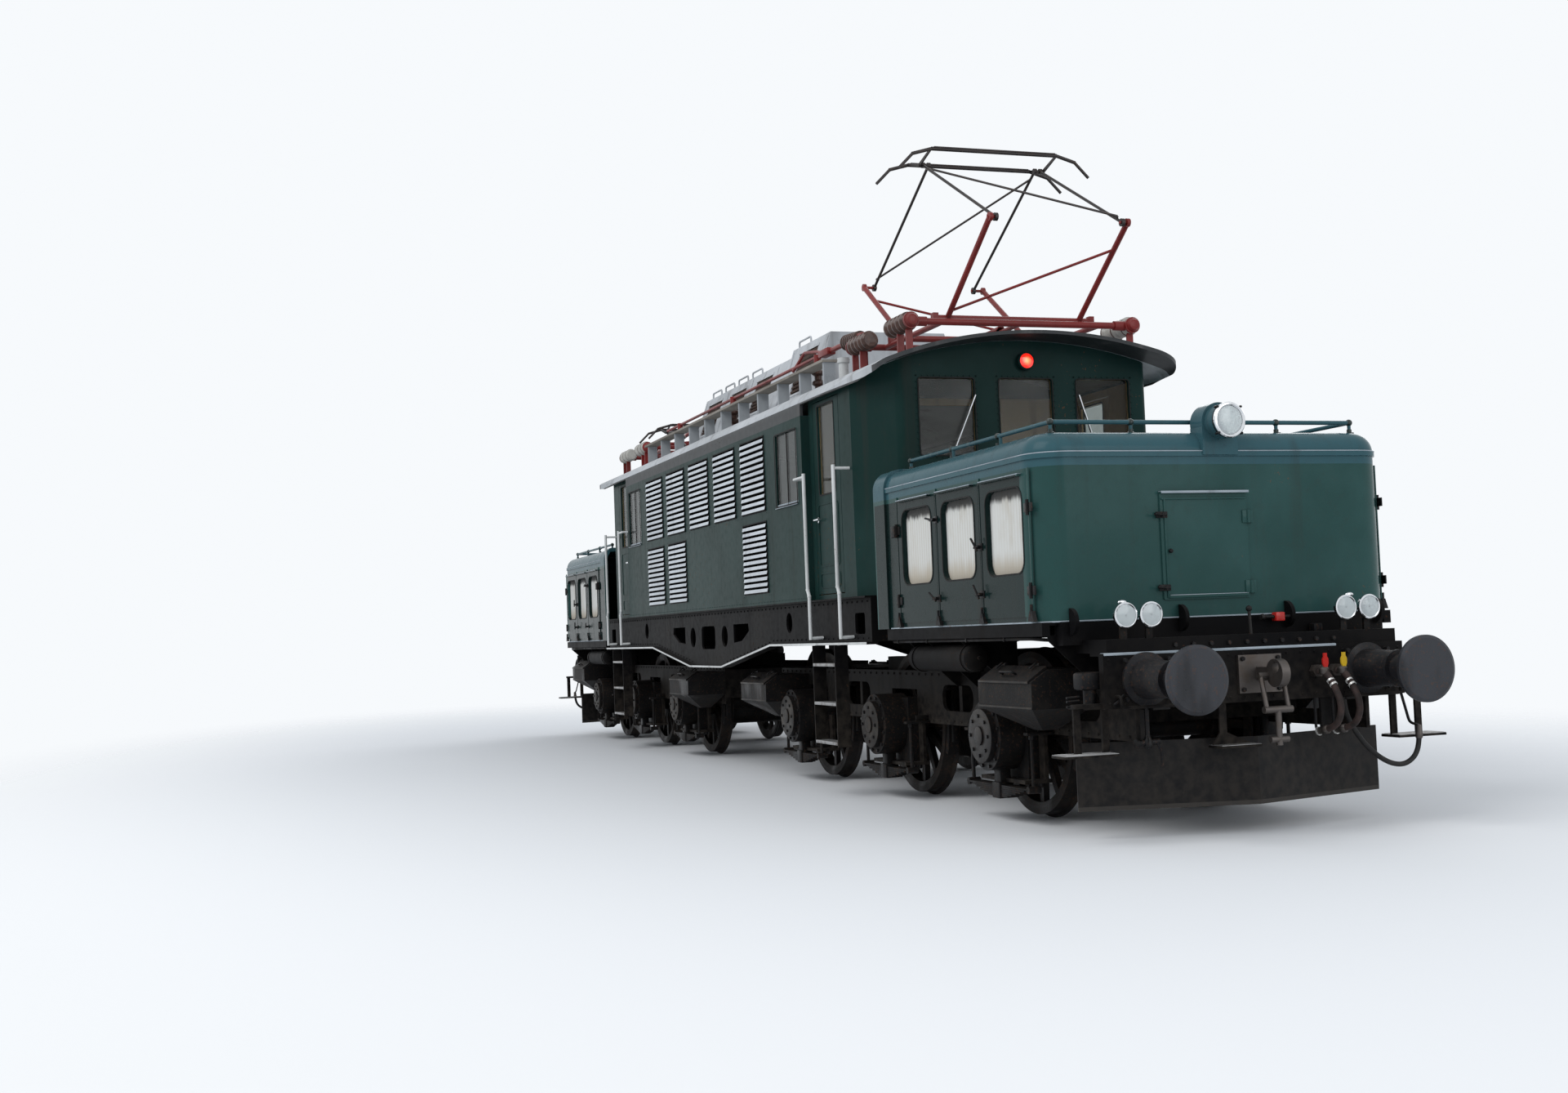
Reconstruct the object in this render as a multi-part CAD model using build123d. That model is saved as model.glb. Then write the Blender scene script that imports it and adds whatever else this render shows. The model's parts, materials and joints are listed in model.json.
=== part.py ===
"""Six-axle electric locomotive: a central body on a bridge frame, carried by two bogies.

Each bogie carries its own hood, buffers and snowplough, and swings under the bridge.
Row frame: +X towards the front end, +Y to the left, +Z up, millimetres. The origin is on the
floor below the middle of the locomotive, and the wheel flanges touch that floor.
"""
from build123d import *
import math
import os

os.makedirs("parts", exist_ok=True)

# Wheels, measured from the rail head; every height below is given as rail + a height above rail
flange_depth = 28.0
tread_radius = 625.0
rail = flange_depth
axle_height = rail + tread_radius
wheel_back = 680.0
wheel_width = 140.0
wheel_rim_depth = 95.0
hub_radius = 150.0
spoke_count = 12
axle_radius = 95.0
journal_radius = 85.0
journal_clearance = 0.5

# Bogie
pivot_x = 4550.0
axle_spacing = 2300.0
frame_plate_y = 900.0
frame_plate = 30.0
frame_top = rail + 1090.0
frame_bottom = rail + 640.0
frame_inner_end = 1100.0
horn_gap = 290.0
horn_leg = 90.0
horn_bottom = rail + 300.0
keep_plate = 28.0
cross_member = 60.0
bolster_top = rail + 1235.0
seat_gap = 0.3
tank_start = 5800.0
tank_end = 6880.0
tank_y = 1290.0
tank_height = rail + 1215.0
tank_radius = 105.0
axle_box_radius = 265.0
axle_box_y = 960.0
axle_box_depth = 270.0
axle_cover_radius = 205.0
axle_cover_depth = 45.0

# Ends
length_over_buffers = 18600.0
buffer_spacing = 1750.0
buffer_height = rail + 1060.0
buffer_plate_radius = 225.0
beam_face = 8650.0
beam_plate = 60.0
beam_half = 1190.0
beam_bottom = rail + 870.0
beam_top = rail + 1240.0
plough_prow = 8600.0
plough_side_x = 8270.0
plough_half = 1220.0
plough_bottom = rail + 167.0
plough_top = rail + 630.0
plough_plate = 20.0

# Hood
hood_half = 1422.0
hood_rear = 5430.0
hood_front = 8306.0
hood_floor = rail + 1460.0
deck_bottom = rail + 1367.0
deck_plate = 20.0
hood_lip = rail + 2610.0
hood_top = rail + 2775.0
hood_corner = 250.0
hood_roof_radius = 150.0
hood_wall = 30.0
collar_width = 90.0
collar_proud = 22.0
hood_door_width = 760.0
hood_door_height = 1010.0
hood_door_proud = 8.0
hood_window_height = 600.0
hood_window_width = 590.0

# Bridge frame
bridge_half = 5100.0
body_half = 1486.0
sill_web_y = 1410.0
sill_web = 24.0
sill_top = rail + 1755.0
sill_bottom = rail + 1358.0
sill_drop = rail + 1132.0
drop_half = 650.0
drop_end = 2420.0
flange_thickness = 22.0
flange_width = 110.0
floor_plate = 40.0

# Machine room
room_half = 3600.0
wall = 40.0
wall_top = rail + 3505.0
louvre_width = 810.0
louvre_pitch = 1030.0
louvre_bottom = rail + 2695.0
louvre_top = rail + 3460.0
lower_louvre_bottom = rail + 1870.0
lower_louvre_top = rail + 2600.0
slat_pitch = 62.0
side_window_x = 3140.0
side_window_width = 640.0
side_window_bottom = rail + 2700.0
side_window_top = rail + 3400.0
glass = 8.0

# Cab
cab_front_x = 5350.0
cab_side_y = 1400.0
cab_taper_x = 4700.0
cab_nose_y = 1190.0
cab_nose_corner = 90.0
door_start = 3700.0
door_width = 700.0
door_bottom = rail + 1800.0
door_top = rail + 3600.0
door_gap = 8.0
door_leaf = 40.0
front_window_bottom = rail + 2930.0
front_window_top = rail + 3600.0

# Roof
eave_radius = 165.0
roof_edge = rail + 3700.0
roof_crown = rail + 3965.0
roof_skin = 30.0
cab_roof_front = 5716.0
cab_eave_bottom = rail + 3610.0

# Pantograph
panto_x = 4683.0
shaft_offset = 500.0
shaft_z = rail + 4150.0
lower_length = 1152.0
upper_length = 1657.0
raised_lower = 35.6
raised_upper = 29.9
fold_travel = 32.0
upper_ratio = 0.77
lower_arm_y = 640.0
front_rod_y = 590.0
rear_rod_y = 535.0
arm_radius = 25.0
rod_radius = 13.0
shaft_radius = 30.0
eye_width = 30.0
pin_radius = 14.0
pin_clearance = 0.5
bow_offset = 270.0
bow_rise = 75.0
bow_half = 620.0
bow_tip_y = 940.0
bow_tip_drop = 190.0


def slab(x0, x1, y0, y1, z0, z1):
    """A box between two corners."""
    middle = Pos((x0 + x1) / 2, (y0 + y1) / 2, (z0 + z1) / 2)
    return middle * Box(abs(x1 - x0), abs(y1 - y0), abs(z1 - z0))


def rod(start, end, radius):
    """A round bar between two points."""
    a, b = Vector(*start), Vector(*end)
    plane = Plane(origin=a, z_dir=b - a)
    return plane * Cylinder(radius, (b - a).length, align=(Align.CENTER, Align.CENTER, Align.MIN))


def disc(x, y0, y1, z, radius):
    """A round plate or drum whose axis runs across the vehicle."""
    return rod((x, min(y0, y1), z), (x, max(y0, y1), z), radius)


def drum(x0, x1, y, z, radius):
    """A round plate or drum whose axis runs along the vehicle."""
    return rod((min(x0, x1), y, z), (max(x0, x1), y, z), radius)


def across(points, y0, y1):
    """An outline in X and Z, given its width from y0 to y1."""
    plane = Plane(origin=(0, max(y0, y1), 0), x_dir=(1, 0, 0), z_dir=(0, -1, 0))
    return extrude(plane * make_face(Polyline(*points, close=True)), abs(y1 - y0))


def along(points, x0, x1):
    """An outline in Y and Z, given its length from x0 to x1."""
    plane = Plane(origin=(min(x0, x1), 0, 0), x_dir=(0, 1, 0), z_dir=(1, 0, 0))
    return extrude(plane * make_face(Polyline(*points, close=True)), abs(x1 - x0))


def upright(points, z0, z1):
    """An outline in X and Y, given its height from z0 to z1."""
    return extrude(Pos(0, 0, z0) * make_face(Polyline(*points, close=True)), z1 - z0)


def side_cut(x, z, width, height, corner, y0, y1):
    """A rounded opening through a side wall, centred on x and z."""
    plane = Plane(origin=(x, max(y0, y1), z), x_dir=(1, 0, 0), z_dir=(0, -1, 0))
    return extrude(plane * RectangleRounded(width, height, corner), abs(y1 - y0))


def front_cut(y, z, width, height, corner, x0, x1):
    """A rounded opening through an end wall, centred on y and z."""
    plane = Plane(origin=(min(x0, x1), y, z), x_dir=(0, 1, 0), z_dir=(1, 0, 0))
    return extrude(plane * RectangleRounded(width, height, corner), abs(x1 - x0))


def joined(pieces):
    """One solid from pieces that touch or overlap."""
    first, *others = pieces
    return first.fuse(*others) if others else first


def common(piece, limit):
    """The part of a piece that lies inside a limit."""
    return joined(piece.intersect(limit).solids())


def both_sides(piece):
    """A piece and its mirror image across the middle of the vehicle."""
    return [piece, piece.mirror(Plane.XZ)]


def other_end(pieces):
    """The same pieces turned half round, for the rear end."""
    return [Rot(0, 0, 180) * piece for piece in pieces]


def solids_of(pieces):
    """Every solid of a list of shapes."""
    return [solid for piece in pieces for solid in piece.solids()]


def save(name, pieces):
    """Write one sub-part, which may be several solids that don't touch."""
    bodies = solids_of(pieces)
    export_step(Compound(children=bodies), f"parts/{name}.step")


def axle_places(end=1):
    """Where the three axles of one bogie lie along the vehicle."""
    return [end * (pivot_x + k * axle_spacing) for k in (-1, 0, 1)]


# Wheelsets
def wheelset():
    """Two spoked wheels with tyres, pressed on one axle, centred on the origin."""
    outer = wheel_back + wheel_width
    flange = tread_radius + flange_depth
    inner = tread_radius - wheel_rim_depth
    rim = [(inner, wheel_back + 12), (flange - 40, wheel_back), (flange - 8, wheel_back + 4),
           (flange, wheel_back + 14), (flange - 8, wheel_back + 26), (tread_radius + 2, wheel_back + 38),
           (tread_radius - 4, outer), (inner + 40, outer), (inner, outer - 14)]
    tyre = revolve(make_face(Polyline(*rim, close=True)), Axis.Y)
    hub = disc(0, wheel_back - 20, outer + 20, 0, hub_radius)
    spoke_outline = [(-44, hub_radius - 15), (44, hub_radius - 15), (28, inner + 10), (-28, inner + 10)]
    spoke = across(spoke_outline, wheel_back + 45, wheel_back + 95)
    spokes = [Rot(0, 360 / spoke_count * k, 0) * spoke for k in range(spoke_count)]
    wheel = joined([tyre, hub, *spokes])
    axle = disc(0, -wheel_back, wheel_back, 0, axle_radius)
    journal_end = axle_box_y + axle_box_depth - 60
    journals = disc(0, -journal_end, journal_end, 0, journal_radius)
    return joined([wheel, wheel.mirror(Plane.XZ), axle, journals])


# Bogie frame, with the headstock and the deck that the hood stands on
def bogie_side_plate():
    """One side plate with its horn guides, for the +Y side."""
    y0, y1 = frame_plate_y, frame_plate_y + frame_plate
    plate = slab(frame_inner_end, beam_face - beam_plate, y0, y1, frame_bottom, frame_top)
    legs, gaps, keeps = [], [], []
    for x in axle_places():
        legs.append(slab(x - horn_gap - horn_leg, x + horn_gap + horn_leg, y0, y1, horn_bottom, frame_bottom + 10))
        gaps.append(slab(x - horn_gap, x + horn_gap, y0 - 5, y1 + 5, horn_bottom - 5, axle_height + 300))
        keeps.append(slab(x - horn_gap - horn_leg, x + horn_gap + horn_leg, y0 - 30, y1 + 170,
                          horn_bottom - keep_plate, horn_bottom))
    holes = [side_cut(x, frame_bottom + 225, 620, 220, 100, y0 - 5, y1 + 5) for x in (3400, 5700, 7800)]
    return joined([plate, *legs]).cut(*gaps, *holes).fuse(*keeps)


def bogie_frame():
    """Side plates, cross members, pivot beam, headstock and hood deck as one welded frame."""
    inner = frame_plate_y
    pieces = both_sides(bogie_side_plate())
    for x in (frame_inner_end + 30, 3400, 5700, 7750):
        pieces.append(slab(x - cross_member / 2, x + cross_member / 2, -inner, inner, frame_bottom + 70, frame_top - 40))
    for side in (-1, 1):
        pieces.append(slab(3400 - 30, 5700 + 30, side * 500, side * 600, frame_top - 60, bolster_top - 35))
        for x in (5760, 6150, 6780, 8200):
            pieces.append(along([(side * inner, frame_top - 120), (side * inner, deck_bottom + 5),
                                 (side * (hood_half - 60), deck_bottom + 5), (side * (hood_half - 60), deck_bottom - 30),
                                 (side * (inner + 60), frame_top - 120)], x, x + 14))
        pieces.append(slab(hood_rear, hood_front - 60, side * (hood_half - 60), side * hood_half, deck_bottom, hood_floor))
        pieces.append(drum(tank_start, tank_end, side * tank_y, tank_height, tank_radius))
        for x in (tank_start + 60, tank_end - 80):
            pieces.append(drum(x, x + 20, side * tank_y, tank_height, tank_radius + 7))
    pieces.append(slab(pivot_x - 320, pivot_x + 320, -600, 600, bolster_top - 55, bolster_top))
    pieces.append(slab(hood_rear, hood_front - 60, -hood_half + 30, hood_half - 30, hood_floor - deck_plate, hood_floor))
    pieces.append(slab(hood_rear, hood_rear + 60, -hood_half + 30, hood_half - 30, deck_bottom, hood_floor))
    pieces.append(slab(8190, hood_front, -1300, 1300, rail + 1300, hood_floor))
    pieces.append(slab(8190, beam_face - 20, -1150, 1150, beam_top, rail + 1330))
    pieces.append(slab(beam_face - beam_plate, beam_face, -beam_half, beam_half, beam_bottom, beam_top))
    pieces.append(slab(8400, beam_face - 20, -1150, 1150, beam_top - 20, beam_top + 5))
    return joined(pieces)


def axle_boxes():
    """Six axle boxes with round covers and hanging leaf springs' buckles."""
    boxes = []
    for x in axle_places():
        for side in (-1, 1):
            y0, y1 = side * axle_box_y, side * (axle_box_y + axle_box_depth)
            drum_part = disc(x, y0, y1, axle_height, axle_box_radius)
            guide = slab(x - horn_gap + seat_gap, x + horn_gap - seat_gap, side * (frame_plate_y - 20), y0 + side * 60,
                         horn_bottom + seat_gap, axle_height + 230)
            cover = disc(x, y1, y1 + side * axle_cover_depth, axle_height, axle_cover_radius)
            cap = disc(x, y1, y1 + side * (axle_cover_depth + 18), axle_height, axle_cover_radius * 0.35)
            bore = disc(x, side * (frame_plate_y - 30), y1 - side * 40, axle_height, journal_radius + journal_clearance)
            boxes.append(joined([drum_part, guide, cover, cap]).cut(bore))
    return boxes


def sandboxes():
    """Four sand boxes with sloped lids and hoppers, hung outside the side plates."""
    boxes = []
    for x0, low, high in ((1090, rail + 765, rail + 990), (7130, rail + 860, rail + 1090)):
        x1 = x0 + 870
        for side in (-1, 1):
            inner, outer = side * (frame_plate_y + frame_plate), side * 1400
            slope = side * 140
            top = along([(inner, low), (outer, low), (outer, high - 40), (outer - slope, high + 45), (inner, high + 45)],
                        x0, x1)
            hopper = loft([Pos(0, 0, low) * Pos((x0 + x1) / 2, (inner + outer) / 2) * Rectangle(x1 - x0, abs(outer - inner)),
                           Pos(0, 0, low - 170) * Pos((x0 + x1) / 2, inner + side * 150) * Rectangle(140, 120)])
            lid = along([(outer - slope * 0.2, high - 25), (outer - slope, high + 45), (outer - slope, high + 70),
                         (outer + side * 12, high - 32), (outer + side * 12, high - 50), (outer, high - 50)], x0 + 30, x1 - 30)
            boxes.append(joined([top, hopper, lid]))
    return boxes


def motors():
    """Three nose-hung traction motors, each a plain block beside its axle."""
    blocks = []
    for x, way in zip(axle_places(), (1, 1, -1)):
        reach = axle_spacing / 2 - cross_member / 2
        block = slab(x + way * 140, x + way * reach, -560, 560, rail + 330, rail + 1010)
        blocks.append(fillet(block.edges().filter_by(Axis.Y), 120))
    return blocks


# Hood
def hood_plan(grow, rear):
    """The hood's outline in plan, grown outwards, as a face."""
    half, front = hood_half + grow, hood_front + grow
    face = make_face(Polyline((rear, -half), (front, -half), (front, half), (rear, half), close=True))
    corners = [v for v in face.vertices() if v.X > hood_rear + 500]
    return fillet(corners, hood_corner + grow)


def hood():
    """Hollow hood with three doors a side, a front hatch, a drip lip, a rear collar and a rail."""
    outer = extrude(Pos(0, 0, hood_floor) * hood_plan(0, hood_rear), hood_top - hood_floor)
    top_edges = [e for e in outer.edges() if e.center().Z > hood_top - 1 and e.center().X > hood_rear + 1]
    outer = fillet(top_edges, hood_roof_radius)
    inner = extrude(Pos(0, 0, hood_floor - 5) * hood_plan(-hood_wall, hood_rear - 5), hood_top - hood_wall - hood_floor + 5)
    inner_edges = [e for e in inner.edges() if e.center().Z > hood_top - hood_wall - 1 and e.center().X > hood_rear]
    inner = fillet(inner_edges, hood_roof_radius - hood_wall)
    shell = outer.cut(inner)
    lip = extrude(Pos(0, 0, hood_lip - 18) * hood_plan(12, hood_rear), 36)
    lip = lip.cut(extrude(Pos(0, 0, hood_lip - 20) * hood_plan(-10, hood_rear - 5), 40))
    parts = [shell, lip, hood_collar()]
    for side in (-1, 1):
        y0, y1 = side * (hood_half - 25), side * (hood_half + hood_door_proud)
        skin = extrude(Pos(0, 0, hood_floor) * hood_plan(hood_door_proud, hood_rear), hood_top - hood_floor)
        for x in hood_doors():
            z = hood_floor + 45 + hood_door_height / 2
            parts.append(common(side_cut(x, z, hood_door_width, hood_door_height, 20, y0, y1), skin))
            parts.append(slab(x - 340, x + 300, y0, y1 + side * 30, rail + 2488, rail + 2500))
    cuts = []
    for x in hood_doors():
        window = side_cut(x, rail + 2115, hood_window_width, hood_window_height, 90, -hood_half - 60, hood_half + 60)
        cuts.append(window)
    body = joined(parts).cut(*cuts)
    hatch = front_cut(-155, rail + 1960, 700, 745, 12, hood_front - 5, hood_front + 14)
    hatch_rib = slab(hood_front - 5, hood_front + 40, -505, 200, rail + 2330, rail + 2342)
    return joined([body, hatch, hatch_rib, lamp_pedestal(), *hood_rail()])


def hood_doors():
    """Centres of the three side doors along the hood."""
    return [6155 + 795 * k for k in range(3)]


def hood_collar():
    """The raised frame round the hood's open rear end, with ears that reach past the cab's corners."""
    half, top = hood_half + collar_proud, hood_top + collar_proud
    outline = make_face(Polyline((-half, hood_floor), (half, hood_floor), (half, top), (-half, top), close=True))
    outline = fillet([v for v in outline.vertices() if v.Y > top - 1], hood_roof_radius + 20)
    inner_half, inner_top = hood_half - hood_wall, hood_top - hood_wall
    hole = make_face(Polyline((-inner_half, hood_floor - 5), (inner_half, hood_floor - 5),
                              (inner_half, inner_top), (-inner_half, inner_top), close=True))
    hole = fillet([v for v in hole.vertices() if v.Y > inner_top - 1], hood_roof_radius - hood_wall)
    plane = Plane(origin=(hood_rear, 0, 0), x_dir=(0, 1, 0), z_dir=(1, 0, 0))
    ring = extrude(plane * outline, collar_width).cut(extrude(Pos(-1, 0, 0) * (plane * hole), collar_width + 2))
    ear_plane = Plane(origin=(hood_rear - 150, 0, 0), x_dir=(0, 1, 0), z_dir=(1, 0, 0))
    ears = extrude(ear_plane * outline, 151).cut(extrude(Pos(-1, 0, 0) * (ear_plane * hole), 153))
    ears = ears.cut(slab(hood_rear - 160, hood_rear, -1355, 1355, hood_floor - 10, top + 10))
    return joined([ring, ears])


def lamp_pedestal():
    """The bracket that carries the top headlight on the hood's front edge."""
    post = slab(hood_front - 130, hood_front + 25, -142, 142, hood_lip - 10, rail + 2800)
    saddle = drum(hood_front - 130, hood_front + 25, 0, rail + 2830, 142)
    barrel = drum(hood_front - 60, hood_front + 130, 0, rail + 2830, 122)
    return joined([post, saddle, barrel])


def hood_rail():
    """The low hand rail round the hood's roof, on short posts."""
    z, edge, front = hood_top + 78, hood_half - 190, hood_front - 170
    bars = [rod((5640, side * edge, z), (front, side * edge, z), 16) for side in (-1, 1)]
    bars.append(rod((front, -edge, z), (front, edge, z), 16))
    posts = [(x, side * edge) for x in (5640, 6500, 7350, front) for side in (-1, 1)]
    posts += [(front, -600), (front, 600)]
    bars += [rod((x, y, hood_top - 40), (x, y, z + 16), 13) for x, y in posts]
    return bars


def hood_screens():
    """Pleated screens behind the six door windows."""
    screens = []
    pleats = 14
    for x in hood_doors():
        for side in (-1, 1):
            base = side * (hood_half - hood_wall - seat_gap)
            width = hood_window_width + 20
            step = width / pleats
            points = [(x - width / 2, base - side * 22)]
            for k in range(pleats):
                start = x - width / 2 + k * step
                points += [(start, base), (start + step * 0.5, base - side * 12)]
            points += [(x + width / 2, base), (x + width / 2, base - side * 22)]
            screens.append(upright(points, rail + 1780, rail + 2450))
    return screens


# End gear
def buffers():
    """Two buffers: bell housing, plunger and a flat round head with a bevelled rim."""
    head = length_over_buffers / 2
    bodies = []
    for side in (-1, 1):
        y = side * buffer_spacing / 2
        profile = [(0, beam_face), (180, beam_face), (180, beam_face + 22), (135, beam_face + 30),
                   (120, beam_face + 330), (128, beam_face + 345), (128, beam_face + 370), (96, beam_face + 372),
                   (92, head - 70), (150, head - 40), (buffer_plate_radius, head - 34),
                   (buffer_plate_radius, head - 12), (buffer_plate_radius - 22, head), (0, head)]
        face = make_face(Polyline(*profile, close=True))
        body = revolve(face, Axis.Y)
        bodies.append(Pos(0, y, buffer_height) * Rot(0, 0, -90) * body)
    return bodies


def coupler():
    """Draw hook with the screw coupling hung from it."""
    z = buffer_height
    plate = slab(beam_face, beam_face + 25, -170, 170, z - 130, z + 130)
    shank = slab(beam_face, beam_face + 190, -32, 32, z - 45, z + 45)
    hook = drum(0, 64, 0, 0, 95)
    hook = Pos(beam_face + 230, -32, z + 5) * Rot(0, 0, 90) * hook
    throat = Pos(beam_face + 245, -40, z + 45) * Rot(0, 0, 90) * drum(0, 80, 0, 0, 38)
    hook = hook.cut(throat)
    pin = rod((beam_face + 150, -105, z - 10), (beam_face + 150, 105, z - 10), 20)
    links = [rod((beam_face + 150, side * 85, z - 10), (beam_face + 205, side * 85, z - 240), 17) for side in (-1, 1)]
    nut = rod((beam_face + 205, -110, z - 240), (beam_face + 205, 110, z - 240), 24)
    screw = rod((beam_face + 205, 0, z - 240), (beam_face + 205, 0, z - 480), 22)
    lower = rod((beam_face + 205, -70, z - 440), (beam_face + 205, 70, z - 440), 22)
    return [joined([plate, shank, hook, pin, *links, nut, screw, lower])]


def snowplough():
    """Shallow two-sided plough plate with its stays, below the headstock."""
    t = plough_plate
    points = [(plough_prow, 0), (plough_side_x, plough_half), (plough_side_x - t, plough_half - 6),
              (plough_prow - t, 0), (plough_side_x - t, -plough_half + 6), (plough_side_x, -plough_half)]
    blade = upright(points, plough_bottom, plough_top)
    stays = [slab(plough_side_x + 60, plough_side_x + 84, side * 700, side * 830, plough_top - 300, beam_bottom)
             for side in (-1, 1)]
    arms = [slab(plough_side_x + 60, beam_face, side * 700, side * 830, beam_bottom - 20, beam_bottom)
            for side in (-1, 1)]
    toes = [slab(plough_side_x + 60, plough_side_x + 125, side * 700, side * 724, plough_top - 300, plough_top - 60)
            for side in (-1, 1)]
    return [joined([blade, *stays, *arms, *toes])]


def lamps():
    """Four low headlights on brackets and the rim of the top headlight."""
    bodies = []
    for y in (-973, -778, 778, 973):
        z = rail + 1490
        face = 8600
        bowl = revolve(make_face(Polyline((0, face - 95), (45, face - 85), (78, face - 30), (86, face - 22),
                                          (86, face), (74, face), (74, face - 12), (0, face - 12), close=True)), Axis.Y)
        bowl = Pos(0, y, z) * Rot(0, 0, -90) * bowl
        foot = slab(face - 60, face - 40, y - 25, y + 25, rail + 1330, z - 60)
        bodies.append(joined([bowl, foot]))
    rim = revolve(make_face(Polyline((100, hood_front + 130), (126, hood_front + 130), (126, hood_front + 156),
                                     (100, hood_front + 156), close=True)), Axis.Y)
    bodies.append(Pos(0, 0, rail + 2830) * Rot(0, 0, -90) * rim)
    return bodies


# Bridge frame
def sill_bottom_line(offset=0.0):
    """The sill's lower edge from end to end, moved down by offset."""
    low, high = sill_drop - offset, sill_bottom - offset
    return [(-bridge_half, high), (-drop_end, high), (-drop_half, low), (drop_half, low), (drop_end, high),
            (bridge_half, high)]


def bridge_sill():
    """One side sill with its openings and bottom flange, for the +Y side."""
    web = across([*sill_bottom_line(), (bridge_half, sill_top), (-bridge_half, sill_top)], sill_web_y, sill_web_y + sill_web)
    cuts = [side_cut(0, rail + 1446, 560, 260, 60, sill_web_y - 5, sill_web_y + sill_web + 5)]
    for way in (-1, 1):
        for x, z, wide, tall in ((655, 1455, 235, 235), (2900, 1560, 180, 200)):
            plane = Plane(origin=(way * x, sill_web_y + sill_web + 5, rail + z), x_dir=(1, 0, 0), z_dir=(0, -1, 0))
            cuts.append(extrude(plane * Ellipse(wide / 2, tall / 2), sill_web + 10))
        cuts.append(side_cut(way * 4830, rail + 1520, 240, 185, 30, sill_web_y - 5, sill_web_y + sill_web + 5))
        corner = [(way * 1000, rail + 1380), (way * 1300, rail + 1400), (way * 1560, rail + 1500),
                  (way * 1540, rail + 1580), (way * 1000, rail + 1580)]
        cuts.append(across(corner, sill_web_y - 5, sill_web_y + sill_web + 5))
    web = web.cut(*cuts)
    flange = across([*sill_bottom_line(), *reversed(sill_bottom_line(flange_thickness))],
                    body_half - flange_width, body_half)
    top = slab(-bridge_half, bridge_half, body_half - flange_width, body_half, sill_top - 16, sill_top)
    return joined([web, flange, top])


def bridge_frame():
    """Sills, deck, cross beams and pivots as one welded frame."""
    pieces = both_sides(bridge_sill())
    inner = sill_web_y
    pieces.append(slab(-bridge_half, bridge_half, -inner, inner, sill_top - floor_plate, sill_top))
    for way in (-1, 1):
        pieces.append(slab(way * (bridge_half - 10), way * (cab_front_x - wall), -1080, 1080,
                           sill_top - floor_plate, sill_top))
        pieces.append(slab(way * (bridge_half - 24), way * bridge_half, -inner, inner, sill_bottom, sill_top))
        for x in (2700, 3900):
            pieces.append(slab(way * x, way * (x + 24), -inner, inner, sill_bottom + 40, sill_top))
        pieces.append(slab(way * (pivot_x - 260), way * (pivot_x + 260), -560, 560, rail + 1330, sill_top))
        pieces.append(rod((way * pivot_x, 0, bolster_top + seat_gap), (way * pivot_x, 0, rail + 1340), 170))
    return joined(pieces)


# Machine room
def louvre_banks():
    """Centre x, bottom and top of each louvre bank on one side."""
    upper = [(k * louvre_pitch, louvre_bottom, louvre_top) for k in (-2, -1, 0, 1, 2)]
    lower = [(k * louvre_pitch, lower_louvre_bottom, lower_louvre_top) for k in (-2, -1, 2)]
    return upper + lower


def machine_room_sides():
    """The two long side walls, with window and louvre openings."""
    bodies = []
    for side in (-1, 1):
        y0, y1 = side * (body_half - wall), side * body_half
        panel = slab(-room_half, room_half, y0, y1, sill_top, wall_top)
        cuts = []
        for x, low, high in louvre_banks():
            cuts.append(slab(x - louvre_width / 2, x + louvre_width / 2, y0 - side * 5, y1 + side * 5, low, high))
        for way in (-1, 1):
            cuts.append(slab(way * (side_window_x - side_window_width / 2), way * (side_window_x + side_window_width / 2),
                             y0 - side * 5, y1 + side * 5, side_window_bottom, side_window_top))
        returns = [slab(way * (room_half - wall), way * room_half, side * (cab_side_y - wall), y1, sill_top, wall_top)
                   for way in (-1, 1)]
        bodies.append(joined([panel.cut(*cuts), *returns]))
    return bodies


def louvres():
    """Louvre banks: a saw-toothed plate of slats in a thin frame, one in each opening."""
    bodies = []
    for side in (-1, 1):
        for x, low, high in louvre_banks():
            count = round((high - low) / slat_pitch)
            step = (high - low - 20) / count
            back, face = side * (body_half - wall + 2), side * (body_half - wall + 10)
            lip = side * (body_half + 14)
            points = [(back, low + 10), (lip, low + 10)]
            for k in range(count):
                z = low + 10 + k * step
                points += [(lip, z + 8), (face, z + step - 2)]
                if k < count - 1:
                    points.append((lip, z + step))
            points.append((back, high - 10))
            half = louvre_width / 2
            slats = along(points, x - half + 12, x + half - 12)
            left, right, face = x - half + seat_gap, x + half - seat_gap, side * (body_half + 6)
            floor, ceiling = low + seat_gap, high - seat_gap
            rims = [slab(left, left + 12, back, face, floor, ceiling),
                    slab(right - 12, right, back, face, floor, ceiling),
                    slab(left, right, back, face, ceiling - 12, ceiling),
                    slab(left, right, back, face, floor, floor + 12)]
            bodies.append(joined([slats, *rims]))
    return bodies


# Cab
def cab_plan(shrink, rear):
    """The cab's outline in plan, shrunk inwards, as a face."""
    side, taper, front, nose = cab_side_y - shrink, cab_taper_x, cab_front_x - shrink, cab_nose_y - shrink
    points = [(rear, -side), (taper, -side), (front, -nose), (front, nose), (taper, side), (rear, side)]
    face = make_face(Polyline(*points, close=True))
    return fillet([v for v in face.vertices() if v.X > front - 1], max(cab_nose_corner - shrink, 20))


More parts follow.
